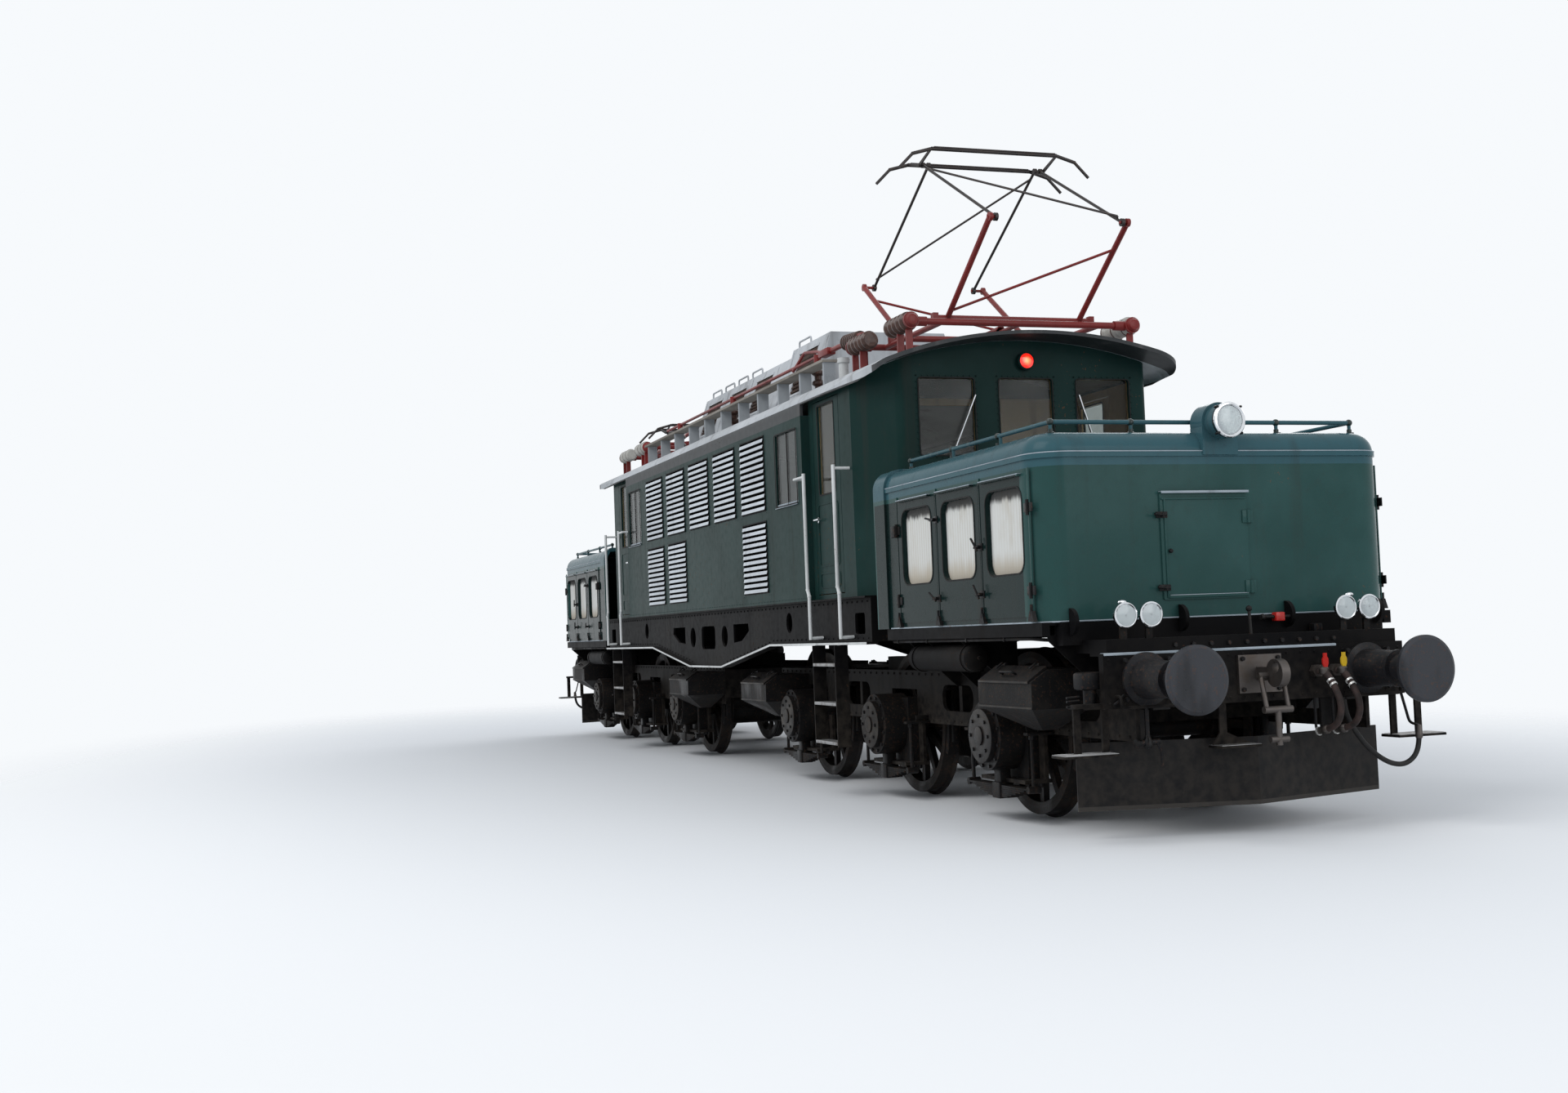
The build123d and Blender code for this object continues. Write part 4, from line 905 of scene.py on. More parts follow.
@dataclass
class Fasteners(Copies):
    """Rows of rivet or bolt heads."""

    radius: float = 0.010
    height: float = 0.006
    taper: float = 0.55
    sides: int = 8

    def sizes(self) -> dict[str, object]:
        """The heads' sizes."""
        return {"Radius": self.radius, "Height": self.height, "Taper": self.taper, "Sides": self.sides}

    def add(self, spot: Sequence[float], facing: Sequence[float]) -> None:
        """Add one head."""
        self.place(spot, self.turned(facing))

    def row(self, start: Sequence[float], end: Sequence[float], pitch: float, facing: Sequence[float]) -> None:
        """Add a row of heads from start to end at about that pitch."""
        a, b = Vector(start), Vector(end)
        count = max(1, round((b - a).length / pitch))
        for k in range(count + 1):
            self.add(a.lerp(b, k / count), facing)

    def ring(self, centre: Sequence[float], radius: float, count: int, facing: Sequence[float]) -> None:
        """Add a ring of heads round a centre."""
        axis = Vector(facing)
        u = axis.orthogonal().normalized()
        v = axis.cross(u)
        for k in range(count):
            a = 2 * math.pi * k / count
            self.add(Vector(centre) + radius * (math.cos(a) * u + math.sin(a) * v), axis)

    def mirror(self) -> None:
        """Repeat every head that has been added so far on the other side."""
        self.spots += [(spot * Vector(ACROSS), facing * Vector(ACROSS)) for spot, facing in self.spots]


@dataclass
class Slats(Copies):
    """Equal leaning plates."""

    size: Point = (0.8, 0.0025, 0.04)
    lean: float = 24.0

    def sizes(self) -> dict[str, object]:
        """The plates' size."""
        return {"Size": self.size}

    def plate(self, centre: Sequence[float], side: float) -> None:
        """Add a plate whose lower edge leans out to that side."""
        self.place(centre, Vector((math.radians(self.lean) * side * self.end, 0.0, 0.0)))


@dataclass
class Section:
    """Details of one end of the locomotive, laid out for the front and turned half round for the rear."""

    end: str
    heads: FastenerTree
    body: str = "body"
    origin: Point = ORIGIN

    def piece(self, name: str, finish: Finish, slot: str, body: str | None = None) -> Piece:
        """Start a piece of this end."""
        return Piece(f"{name}_{self.end}", body or self.body, finish, slot, ENDS[self.end], self.origin)

    def fasteners(self, name: str, finish: Finish, slot: str, **sizes: float) -> Fasteners:
        """Start rows of heads of this end."""
        return Fasteners(f"{name}_{self.end}", self.body, finish, slot, self.heads, ENDS[self.end], self.origin,
                         **sizes)


@dataclass
class HoodDetails(Section):
    """Seals, locks, hinges, drip strips, hatch fittings, rail balls and the top headlight of one hood."""

    front: float = 8.306
    rear: float = 5.43
    half: float = 1.422
    corner: float = 0.25
    floor: float = RAIL + 1.46
    lip: float = RAIL + 2.61
    top: float = RAIL + 2.775
    doors: tuple[float, ...] = (6.155, 6.95, 7.745)
    gaps: tuple[float, ...] = (5.7575, 6.5525, 7.3475, 8.1425)
    window: Pair = (0.59, 0.6)
    window_z: float = RAIL + 2.115
    lamp: Point = (8.462, 0.0, RAIL + 2.83)
    lamp_radius: float = 0.126
    paint: str = "green_paint"

    def build(self) -> None:
        """Build every detail of the hood."""
        self.lines()
        self.windows()
        self.door_gear()
        self.hatch_gear()
        self.rail_balls()
        self.headlight()

    def outline(self, out: float, height: float) -> list[Point]:
        """Points along the hood's sides and front at that distance outside it and that height."""
        radius, start = self.corner + out, self.rear + 0.1
        points = [(start, -self.half - out, height)]
        for side, turn in ((-1, -90), (1, 0)):
            for k in range(9):
                a = math.radians(turn + 90 * k / 8)
                points.append((self.front - self.corner + radius * math.cos(a),
                               side * (self.half - self.corner) + radius * math.sin(a), height))
        return points + [(start, self.half + out, height)]

    def lines(self) -> None:
        """Painted highlights along the hood's foot and on its drip lip."""
        # Pale strips at the hood's foot and drip lip: painted highlights.
        with self.piece("hood_highlight_edges", Finish.PAINTED_HIGHLIGHT, self.paint) as edge:
            edge.pipe(self.outline(0.002, self.floor + 0.004), 0.0055, 6, 0)
            edge.pipe(self.outline(0.011, self.lip + 0.019), 0.004, 6, 0)

    def windows(self) -> None:
        """Dark seals round the side windows and the drip strips over the doors."""
        face, z = self.half + 0.008, self.window_z
        with self.piece("hood_window_seals", Finish.RUBBER, self.paint) as seal:
            for x in self.doors:
                seal.frame((x, face, z), self.window, 0.011, (0, 0.005, 0), 0.09)
            seal.mirror()
        # The drip strips take the pale colour of a painted highlight on their tops.
        with self.piece("hood_drip_strips", Finish.PAINTED_HIGHLIGHT, self.paint) as strip:
            for x in self.doors:
                low, high = x - 0.342, x + 0.304
                strip.boxes(0.002, (low, face + 0.028, z + 0.383, high, face + 0.034, z + 0.39))
                strip.boxes(0.001, (low, face, z + 0.386, high, face + 0.03, z + 0.389))
            strip.mirror()

    def door_gear(self) -> None:
        """Two-armed locks, hinges, sill brackets and a small box on each side of the hood."""
        face, foot, gaps = self.half + 0.006, self.floor, self.gaps
        with self.piece("hood_locks", Finish.DARK_IRON, self.paint) as gear:
            for x, z, lean in ((gaps[1], 2.322, 0.2), (gaps[1], 1.71, 0.6), (gaps[2], 2.061, 0.9), (gaps[2], 1.713, 1)):
                self.lock(gear, (x, face, z), lean)
            for x in (gaps[0], gaps[3]):
                for z in (1.713, 2.288):
                    gear.rods(0.012, 10, (x, face + 0.014, z - 0.055, x, face + 0.014, z + 0.055))
                    gear.boxes(0.003, *((at - 0.026, face, z - 0.032, at + 0.026, face + 0.012, z + 0.032)
                                        for at in (x - 0.034, x + 0.034)))
            gear.boxes(0.006, (gaps[0] - 0.05, face, 2.235, gaps[0] + 0.03, face + 0.045, 2.33))
            for x in gaps:
                wedge = ((-0.045, 0.012), (0.045, 0.012), (0.016, 0.085), (-0.016, 0.085))
                gear.prism([(x + dx, self.half, foot + dz) for dx, dz in wedge], (0, 0.03, 0))
                gear.rods(0.01, 8, (x, self.half + 0.022, foot + 0.05, x, self.half + 0.022, foot + 0.13))
            gear.mirror()
        with self.piece("hood_cover_strips", Finish.HOOD_GREEN, self.paint) as stiles:
            stiles.boxes(0.003, *((x - 0.01, self.half - 0.002, foot + 0.03, x + 0.01, self.half + 0.01,
                                   self.window_z + 0.42) for x in gaps))
            stiles.mirror()

    @staticmethod
    def lock(gear: Piece, at: Point, lean: float) -> None:
        """Add one two-armed lock on the side wall.

        Args:
            gear: the piece that it goes on.
            at: its middle, on the wall's face.
            lean: how far its arms lean from level, in radians.
        """
        x, face, z = at
        out = face + 0.045
        arm = Vector((math.cos(lean), 0, -math.sin(lean)))
        gear.boxes(0.003, (x - 0.034, face, z - 0.028, x + 0.034, face + 0.01, z + 0.028))
        gear.rods(0.014, 10, (x, face, z, x, face + 0.05, z))
        gear.bar(Vector((x, out, z)) + arm * 0.035, Vector((x, out + 0.012, z)) - arm * 0.085, 0.0085, 8)
        gear.rods(0.008, 8, (x - 0.03, out, z - 0.004, x + 0.045, out, z + 0.004))

    def hatch_gear(self) -> None:
        """Inner lines, ledge, hinges, latches and knob of the front hatch."""
        front, face = self.front, self.front + 0.014
        with self.piece("hatch_ribs", Finish.HOOD_GREEN, self.paint) as rib:
            rib.boxes(0.004, *((face - 0.002, y0, RAIL + z0, face + 0.01, y1, RAIL + z1) for y0, y1, z0, z1 in (
                (-0.497, 0.187, 2.285, 2.3), (-0.48, -0.466, 1.6, 2.29), (-0.466, 0.175, 1.597, 1.62))))
            for z in (1.69, 2.187):
                rib.boxes(0.004, (face - 0.02, 0.15, z - 0.045, face + 0.012, 0.236, z + 0.045))
                rib.rods(0.011, 10, (face + 0.014, 0.196, z - 0.045, face + 0.014, 0.196, z + 0.045))
        # Pale strips on the hatch's top lip and lower line: painted highlights.
        with self.piece("hatch_highlight_edges", Finish.PAINTED_HIGHLIGHT, self.paint) as edge:
            edge.boxes(0.001, (front + 0.001, -0.506, RAIL + 2.341, front + 0.041, 0.201, RAIL + 2.346),
                       (front + 0.0395, -0.506, RAIL + 2.329, front + 0.0425, 0.201, RAIL + 2.346),
                       (face + 0.008, -0.46, RAIL + 1.617, face + 0.0115, 0.17, RAIL + 1.6215))
        with self.piece("hatch_latches", Finish.DARK_IRON, self.paint) as latch:
            for z in (1.7, 2.208):
                latch.boxes(0.004, (face, -0.545, z - 0.022, face + 0.014, -0.455, z + 0.022))
                latch.rods(0.013, 10, (face + 0.006, -0.505, z, face + 0.05, -0.505, z))
                latch.rods(0.009, 8, (face + 0.044, -0.575, z + 0.004, face + 0.044, -0.48, z - 0.004))
            latch.lathe(((0, 0.026), (0.012, 0.024), (0.016, 0.014), (0.009, 0.006), (0.011, 0)),
                        (face, -0.442, 1.955), AHEAD, 12)

    def rail_balls(self) -> None:
        """The small balls where the hood's hand rail meets its posts."""
        start, front, edge = self.rear + 0.21, self.front - 0.17, self.half - 0.19
        with self.piece("hood_rail_balls", Finish.FRAME_GREEN, self.paint) as balls:
            for x, y in [(start + (front - start) * k / 3, edge) for k in range(4)] + [(front, 0.6)]:
                balls.lathe(ball(0.026, 0.026, 8), (x, y, self.top + 0.078), UP, 16)
                balls.lathe(((0.034, 0), (0.034, 0.006), (0.018, 0.012), (0.018, 0.03)), (x, y, self.top - 0.002),
                            UP, 14)
            balls.mirror()

    def headlight(self) -> None:
        """The top headlight's rim, reflector, bulb, glass and clamp screws."""
        (x, _, z), r = self.lamp, self.lamp_radius
        turned = (
            ("rim", Finish.CHROME, "lamp_metal", 48, (
                (r - 0.024, -0.004), (r - 0.024, 0.004), (r - 0.016, 0.011), (r - 0.006, 0.009), (r + 0.001, 0.001),
                (r + 0.001, -0.01))),
            ("reflector", Finish.REFLECTOR, "lamp_metal", 48, (
                (r - 0.025, -0.001), (r - 0.04, -0.009), (r - 0.065, -0.018), (0.03, -0.0235), (0, -0.0245))),
            ("bulb", Finish.PALE_CERAMIC, "lamp_metal", 16, (
                (0.012, -0.024), (0.014, -0.014), (0.01, -0.004), (0, -0.001))),
            ("glass", Finish.LENS, "glass", 40, ((r - 0.024, 0), (r * 0.55, 0.012), (r * 0.25, 0.017), (0, 0.0185))))
        for name, finish, slot, steps, profile in turned:
            with self.piece(f"top_lamp_{name}", finish, slot) as made:
                made.lathe(profile, self.lamp, AHEAD, steps, ring=name == "rim")
                if name == "bulb":
                    made.rods(0.004, 8, (x - 0.012, -0.045, z, x - 0.012, 0.045, z))
        with self.piece("top_lamp_clamps", Finish.DARK_IRON, "lamp_metal") as clamp:
            for k in range(4):
                a = math.radians(45 + 90 * k)
                y, up = (r + 0.006) * math.cos(a), z + (r + 0.006) * math.sin(a)
                clamp.rods(0.009, 8, (x - 0.034, y, up, x + 0.006, y, up))


@dataclass
class EndGear(Section):
    """Lamps, bolts, tap handles and small fittings round the buffer beam of one end."""

    origin: Point = BUFFER_BEAM
    lamp: Pair = (-0.05, 1.49)
    lamp_y: Pair = (0.778, 0.973)
    lamp_radius: float = 0.086
    buffer: Pair = (0.875, 1.06)

    def build(self) -> None:
        """Build every fitting of the end."""
        self.low_lamps()
        self.bolts()
        self.taps()
        self.side_fittings()
        self.treads()

    def low_lamps(self) -> None:
        """Rims, bright reflectors, glasses, bulbs and oval clips of the four low lamps."""
        (x, z), r = self.lamp, self.lamp_radius
        turned = (
            ("rims", Finish.CHROME, "lamp_metal", 40, (
                (r - 0.012, -0.004), (r - 0.012, 0.003), (r - 0.006, 0.006), (r + 0.001, 0.001), (r + 0.0015, -0.024),
                (r - 0.0005, -0.024))),
            ("reflectors", Finish.REFLECTOR, "lamp_metal", 40, (
                (r - 0.0125, -0.001), (r - 0.03, -0.006), (0.03, -0.01), (0.01, -0.0112), (0, -0.0115))),
            ("glasses", Finish.LENS, "glass", 32, ((r - 0.012, 0), (r * 0.55, 0.006), (r * 0.2, 0.009), (0, 0.0095))),
            ("bulbs", Finish.DARK_IRON, "lamp_metal", 12, ((0.01, -0.0113), (0.01, -0.004), (0.006, 0), (0, 0.001))))
        for name, finish, slot, steps, profile in turned:
            with self.piece(f"low_lamp_{name}", finish, slot) as made:
                for y in self.lamp_y:
                    made.lathe(profile, (x, y, z), AHEAD, steps, ring=name == "rims")
                    if name == "bulbs":
                        made.rods(0.0022, 6, (x - 0.007, y - 0.028, z, x - 0.007, y + 0.028, z))
                made.mirror()
        with self.piece("lamp_oval_clips", Finish.CHROME, "lamp_metal") as clip:
            for y in (-0.955, 0.862):
                clip.lathe(ball(0.017, 0.034, 10), (x - 0.075, y, 1.579), LEFT, 16)
                clip.rods(0.007, 8, (x - 0.075, y + 0.012, 1.532, x - 0.075, y + 0.012, 1.572))

    def bolts(self) -> None:
        """A painted highlight along the beam's top edge, and bolt heads on its angle, the buffer bases and the hook
        plate.
        """
        # Pale strip on the beam's top edge: a painted highlight.
        with self.piece("beam_highlight_edge", Finish.PAINTED_HIGHLIGHT, "black_paint") as edge:
            edge.boxes(0.006, (-0.055, -1.185, 1.224, 0.003, 0.64, 1.243))
        y, z = self.buffer
        with self.fasteners("beam_bolts", Finish.DARK_IRON, "black_paint", radius=0.017, height=0.018, taper=0.9,
                            sides=6) as row:
            for dy, dz in ((-0.165, -0.13), (-0.165, 0.13), (0.165, -0.13), (0.165, 0.13)):
                row.add((0.024, y + dy, z + dz), AHEAD)
            for dz in (-0.105, 0.105):
                row.add((0.025, 0.14, z + dz), AHEAD)
            row.mirror()
            row.row((-0.02, -0.63, 1.28), (-0.02, 0.63, 1.28), 0.14, AHEAD)
        with self.fasteners("beam_rivets", Finish.FRAME_BLACK, "black_paint", radius=0.012, height=0.008) as rivets:
            for z in (0.905, 1.195):
                rivets.row((0, -1.15, z), (0, 1.15, z), 0.115, AHEAD)

    def taps(self) -> None:
        """Handles, bodies, clamps and end caps of the two brake hoses."""
        half = ((0.01, 0.018), (0.022, 0.05), (0.022, 0.082), (0.012, 0.098), (0.012, 0.122))
        grip = [(-u, v) for u, v in half] + list(reversed(half))
        for name, y, finish in (("main_tap", 0.452, Finish.SIGNAL_RED), ("second_tap", 0.602, Finish.YELLOW)):
            with self.piece(f"{name}_handle", finish, "red_paint") as handle:
                handle.prism([(0.118, y + u, 1.059 + v) for u, v in grip], (0.014, 0, 0))
        with self.piece("tap_bodies", Finish.DULL_STEEL, "dark_steel") as metal:
            for y in (0.452, 0.602):
                metal.lathe(((0, 0), (0.03, 0.002), (0.036, 0.012), (0.036, 0.04), (0.026, 0.052), (0.014, 0.058),
                             (0.014, 0.07), (0, 0.072)), (0.106, y, 1.034), UP, 18)
                metal.rods(0.046, 6, (0, y, 1.059, 0.05, y, 1.059))
        with self.piece("hose_clamps", Finish.CLAMP, "lamp_metal") as bright:
            way, back = Vector((0.064, 0.014, -0.077)).normalized(), (-0.085, -0.018, -0.016)
            for start, end in (((0.15, 0.46, 1.005), (0.048, 0.462, 0.65)), ((0.15, 0.61, 1), (0.042, 0.608, 0.652))):
                for step in (0.016, 0.052):
                    bright.lathe(((0.0235, -0.007), (0.0275, -0.007), (0.0275, 0.007), (0.0235, 0.007)),
                                 Vector(start) + way * step, way, 20, ring=True)
                bright.lathe(((0, 0.052), (0.02, 0.05), (0.0315, 0.044), (0.0315, 0.034), (0.03, 0.034)), end, back, 18)

    def side_fittings(self) -> None:
        """The red box on its rod, the small plate, the drain tap and the valve's pipes."""
        with self.piece("red_plug_box", Finish.SIGNAL_RED, "red_paint") as red:
            red.boxes(0.008, (-0.305, 0.335, 1.41, -0.245, 0.409, 1.474))
        with self.piece("end_ironwork", Finish.DARK_IRON, "dark_steel") as iron:
            iron.rods(0.013, 12, (-0.275, 0.255, 1.442, -0.275, 0.49, 1.442))
            iron.rods(0.014, 10, (-0.394, 0.69, 1.354, -0.314, 0.69, 1.354))
            iron.rods(0.02, 12, (-0.04, -0.945, 0.632, -0.04, -0.77, 0.637))
            iron.rods(0.009, 8, *((-0.15, -1.3, z, -0.15, -1.395, z - 0.004) for z in (0.897, 0.932, 0.957)))
            iron.boxes(0.006, (-0.324, 0.655, 1.324, -0.259, 0.725, 1.384))
            iron.lathe(((0, 0), (0.02, 0.003), (0.024, 0.02), (0.014, 0.036), (0.013, 0.06)), (-0.275, 0.225, 1.442),
                       LEFT, 14)
            iron.lathe(((0, 0), (0.022, 0.004), (0.034, 0.02), (0.034, 0.055), (0.022, 0.072), (0.017, 0.09)),
                       (-0.04, -0.86, 0.592), UP, 16)
            iron.lathe(((0, 0), (0.03, 0.003), (0.03, 0.02), (0, 0.024)), (-0.04, -0.955, 0.632), LEFT, 14)
            iron.pipe(((-0.04, -0.86, 0.88), (-0.04, -0.86, 0.732), (-0.04, -0.86, 0.662)), 0.016)
            iron.pipe(((-0.035, -0.8, 0.637), (-0.02, -0.77, 0.582), (-0.02, -0.768, 0.472)), 0.01, 8)
            iron.pipe(((-0.13, -1.16, 0.897), (-0.02, -1.15, 0.887), (0.004, -1.1, 0.912), (0.004, -1.05, 0.962)),
                      0.009, 8)

    def treads(self) -> None:
        """Worn tread plates on the corner steps and the foot step."""
        with self.piece("step_treads", Finish.TREAD, "dark_steel") as tread:
            tread.boxes(0.002, (-0.178, 1.112, 0.576, 0.018, 1.508, 0.581))
            ridges = (-0.168 + 0.0215 * k for k in range(9))
            tread.boxes(0.001, *((x, 1.125, 0.58, x + 0.006, 1.495, 0.5835) for x in ridges))
            tread.mirror()
            tread.boxes(0.002, (-0.058, -0.383, 0.588, 0.108, -0.072, 0.592))


@dataclass
class Hoses(Section):
    """The two brake hoses and the heating cable of one end."""

    origin: Point = BUFFER_BEAM
    bracket_reach: float = 1.17
    routes: tuple[tuple[str, float, float, Finish, tuple[Point, ...]], ...] = (
        ("inner_brake_hose", 0.045, 0.65, Finish.HOSE, (
            (0.002, 0.452, 1.057), (0.06, 0.452, 1.057), (0.125, 0.454, 1.05), (0.18, 0.466, 0.975),
            (0.238, 0.484, 0.845), (0.206, 0.49, 0.727), (0.133, 0.48, 0.666), (0.048, 0.462, 0.65))),
        ("outer_brake_hose", 0.045, 0.65, Finish.HOSE, (
            (0.002, 0.602, 1.057), (0.06, 0.602, 1.057), (0.125, 0.604, 1.048), (0.178, 0.618, 0.97),
            (0.234, 0.64, 0.84), (0.2, 0.644, 0.724), (0.127, 0.63, 0.666), (0.042, 0.608, 0.652))),
        ("train_heating_cable", 0.036, 0.985, Finish.CABLE, (
            (-0.03, 0.7, 0.868), (-0.028, 0.7, 0.78), (0.01, 0.73, 0.65), (0.04, 0.83, 0.5), (0.065, 0.96, 0.4),
            (0.072, 1.084, 0.374), (0.076, 1.178, 0.42), (0.078, 1.225, 0.508), (0.078, 1.229, 0.603))))

    def build(self) -> None:
        """Lay all three."""
        for name, diameter, length, finish, route in self.routes:
            self.lay(name, route, diameter, length, finish)

    def holder(self, name: str, end: Sequence[Point], radius: float) -> bpy.types.Object:
        """Make the coupling on a cord's far end, and its bracket below the beam.

        Args:
            name: the piece's name.
            end: the cord's last two points.
            radius: the cord's radius.

        Returns:
            The coupling.
        """
        before, at = (Vector(point) for point in end)
        way = (at - before).normalized()
        made = self.piece(name, Finish.DULL_STEEL, "dark_steel")
        made.lathe([(radius * wide, along) for wide, along in (
            (0, -0.05), (1.15, -0.05), (1.4, -0.042), (1.4, -0.01), (1.15, 0), (1.15, 0.03), (0.8, 0.045), (0, 0.048))],
                   at, way, 18)
        tip = at + way * 0.04
        foot = Vector((-0.02, min(tip.y, self.bracket_reach), 0.88))
        with self.piece(f"{name}_bracket", Finish.DARK_IRON, "dark_steel") as bracket:
            bracket.pipe((tip, Vector((foot.x, tip.y, tip.z + 0.02)), foot), 0.01, 8)
        return made.done()

    def lay(self, name: str, route: Sequence[Point], diameter: float, length: float, finish: Finish) -> None:
        """Lay one cord as a smooth curve along its route.

        Args:
            name: the object's name.
            route: its control points: ahead of the beam, to the left, and above the rail.
            diameter: its thickness.
            length: its real length; it is not used.
            finish: its finish.
        """
        way, (beam, _, rail) = ENDS[self.end], self.origin
        points = [(way * (beam + x), way * y, rail + z) for x, y, z in route]
        holder = self.holder(f"{name}_end", route[-2:], diameter / 2)
        curve = bpy.data.curves.new(f"{name}_{self.end}", "CURVE")
        curve.dimensions = "3D"
        curve.resolution_u = 12
        curve.bevel_depth = diameter / 2
        curve.bevel_resolution = 5
        curve.use_fill_caps = True
        line = curve.splines.new("NURBS")
        line.points.add(len(points) - 1)
        for point, place in zip(line.points, points):
            point.co = (*place, 1)
        line.order_u = 3
        line.use_endpoint_u = True
        curve.materials.append(finish.material)
        made = link(f"{name}_{self.end}", curve)
        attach(made, f"bogie_{self.end}")
        LOG.info("%s_%s: %d points", name, self.end, len(points))


@dataclass
class CabDetails(Section):
    """Window seals and rivets, wipers, marker lamp, door panes and the driver's place of one cab."""

    origin: Point = ABOVE_RAIL
    front: float = 5.35
    side: float = 1.4
    window_middle: float = 3.265
    window_height: float = 0.67
    windows: tuple[Pair, ...] = ((-0.755, 0.525), (0.0, 0.515), (0.755, 0.525))
    frame_proud: float = 0.008
    lamp: Pair = (3.751, 0.078)
    door_x: float = 4.05
    door_window: Pair = (0.43, 0.82)
    door_window_z: float = 3.14
    lever: Pair = (3.77, 2.5)
    floor: float = 1.755

    def build(self) -> None:
        """Build every detail of the cab."""
        self.seals()
        self.wipers()
        self.marker_lamp()
        self.doors()
        self.desk()

    def seals(self) -> None:
        """Rubber seals and rivets round the front windows."""
        face, z, tall = self.front + self.frame_proud, self.window_middle, self.window_height
        with self.piece("cab_window_seals", Finish.RUBBER, "green_paint") as seal:
            for y, width in self.windows:
                seal.frame((face, y, z), (width - 0.002, tall - 0.002), 0.009, (0.004, 0, 0), 0.025)
        with self.fasteners("cab_window_rivets", Finish.GREEN, "green_paint", radius=0.0065, height=0.004) as rivets:
            for y, width in self.windows:
                u, v = width / 2 + 0.019, tall / 2 + 0.019
                corners = [(face, y + a * u, z + b * v) for a, b in ((-1, -1), (1, -1), (1, 1), (-1, 1))]
                for start, end in zip(corners, corners[1:] + corners[:1]):
                    rivets.row(start, end, 0.056, AHEAD)

    def wipers(self) -> None:
        """Wipers on the two outer windows, with their spindles below the frames."""
        x = self.front + self.frame_proud
        with (self.piece("wiper_blades", Finish.RUBBER, "green_paint") as blade,
              self.piece("wiper_arms", Finish.CHROME, "head_steel") as arm):
            for foot, tip in (((-0.755, 2.877), (-0.56, 3.302)), ((0.69, 2.877), (0.56, 3.302))):
                low, high = Vector((x + 0.024, *foot)), Vector((x + 0.02, *tip))
                arm.bar(low, high, 0.0055, 8)
                way = (high - low).normalized()
                start, end = high - way * 0.19, high + way * 0.165
                for piece, back, radius, steps in ((arm, 0.004, 0.0065, 8), (blade, 0.013, 0.005, 6)):
                    shift = Vector((-back, 0, 0))
                    piece.bar(start + shift, end + shift, radius, steps)
                arm.lathe(((0, 0), (0.022, 0), (0.022, 0.018), (0.012, 0.028), (0, 0.03)),
                          (self.front - 0.002, low.y, low.z), AHEAD, 16)

    def marker_lamp(self) -> None:
        """The lit red lamp over the middle window."""
        z, r = self.lamp
        at = (self.front + 0.045, 0, z)
        with self.piece("marker_lamp_glass", Finish.RED_GLOW, "glass") as lens:
            lens.lathe(((r - 0.012, -0.002), (r - 0.013, 0.006), (r * 0.5, 0.016), (0, 0.019)), at, AHEAD, 32)
        with self.piece("marker_lamp_rim", Finish.GREEN, "green_paint") as rim:
            rim.lathe(((r - 0.013, -0.004), (r - 0.013, 0.008), (r - 0.006, 0.012), (r + 0.002, 0.006),
                       (r + 0.002, -0.02), (r - 0.002, -0.02)), at, AHEAD, 40, ring=True)

    def doors(self) -> None:
        """A pane, a seal, a lower panel line and a lever on each cab door."""
        x, z = self.door_x, self.door_window_z
        half_wide, half_tall = (size / 2 - 0.0005 for size in self.door_window)
        for side in SIDES:
            word = "left" if side * ENDS[self.end] > 0 else "right"
            body, face = f"cab_door_{self.end}_{word}", side * self.side
            with self.piece(f"door_pane_{word}", Finish.WINDOW, "glass", body) as pane:
                pane.boxes(0, (x - half_wide, side * 1.376, z - half_tall, x + half_wide, side * 1.382, z + half_tall))
            with self.piece(f"door_seal_{word}", Finish.RUBBER, "green_paint", body) as seal:
                seal.frame((x, face, z), self.door_window, 0.014, (0, side * 0.004, 0), 0.02)
                seal.frame((x, face - side * 0.04, z), self.door_window, 0.014, (0, -side * 0.004, 0), 0.02)
            with self.piece(f"door_panel_{word}", Finish.GREEN, "green_paint", body) as panel:
                for low, high in ((1.872, 1.992), (2.072, 2.632)):
                    panel.frame((x, face, (low + high) / 2), (0.5, high - low), 0.012, (0, side * 0.006, 0), 0.03)
            with self.piece(f"door_lever_{word}", Finish.CHROME, "head_steel", body) as bright:
                hub, height = self.lever
                out = side * (self.side + 0.04)
                bright.lathe(((0, 0), (0.028, 0), (0.028, 0.006), (0.016, 0.01), (0.014, 0.02)), (hub, face, height),
                             (0, side, 0), 18)
                bright.rods(0.0125, 12, (hub - 0.004, out, height, hub + 0.122, out, height))

    def desk(self) -> None:
        """The driver's desk top with a hand wheel, dials without figures and two pale stands."""
        top, back, tilt = self.floor + 1, self.front - 0.042, Vector((-0.5, 0, 0.86))
        with self.piece("desk_top", Finish.DARK_IRON, "green_paint") as board:
            board.boxes(0.004, (back - 0.42, -0.895, top + 0.001, back - 0.002, 0.895, top + 0.012))
            for y in (-0.42, -0.14, 0.14, 0.42):
                board.lathe(((0, 0), (0.052, 0), (0.052, 0.03), (0.046, 0.034), (0, 0.034)),
                            (back - 0.13, y, top + 0.06), (-0.8, 0, 0.6), 24)
                board.rods(0.02, 8, (back - 0.1, y, top + 0.01, back - 0.13, y, top + 0.06))
        with self.piece("desk_hand_wheel", Finish.CHROME, "head_steel") as wheel:
            at, turn = Vector((back - 0.3, 0.3, top + 0.11)), tilt.normalized().to_track_quat("Z", "Y")
            rim = [(0.13 + 0.011 * math.cos(a), 0.011 * math.sin(a)) for a in (math.pi * k / 5 for k in range(10))]
            wheel.lathe(rim, at, tilt, 36, ring=True)
            for k in range(4):
                spoke = turn @ Vector((math.cos(math.pi * k / 2), math.sin(math.pi * k / 2), 0))
                wheel.bar(at, at + spoke * 0.128, 0.008, 8)
            wheel.bar(at - tilt * 0.12, at, 0.024, 12)
        with self.piece("desk_pale_stands", Finish.PALE_CERAMIC, "white_paint") as pale:
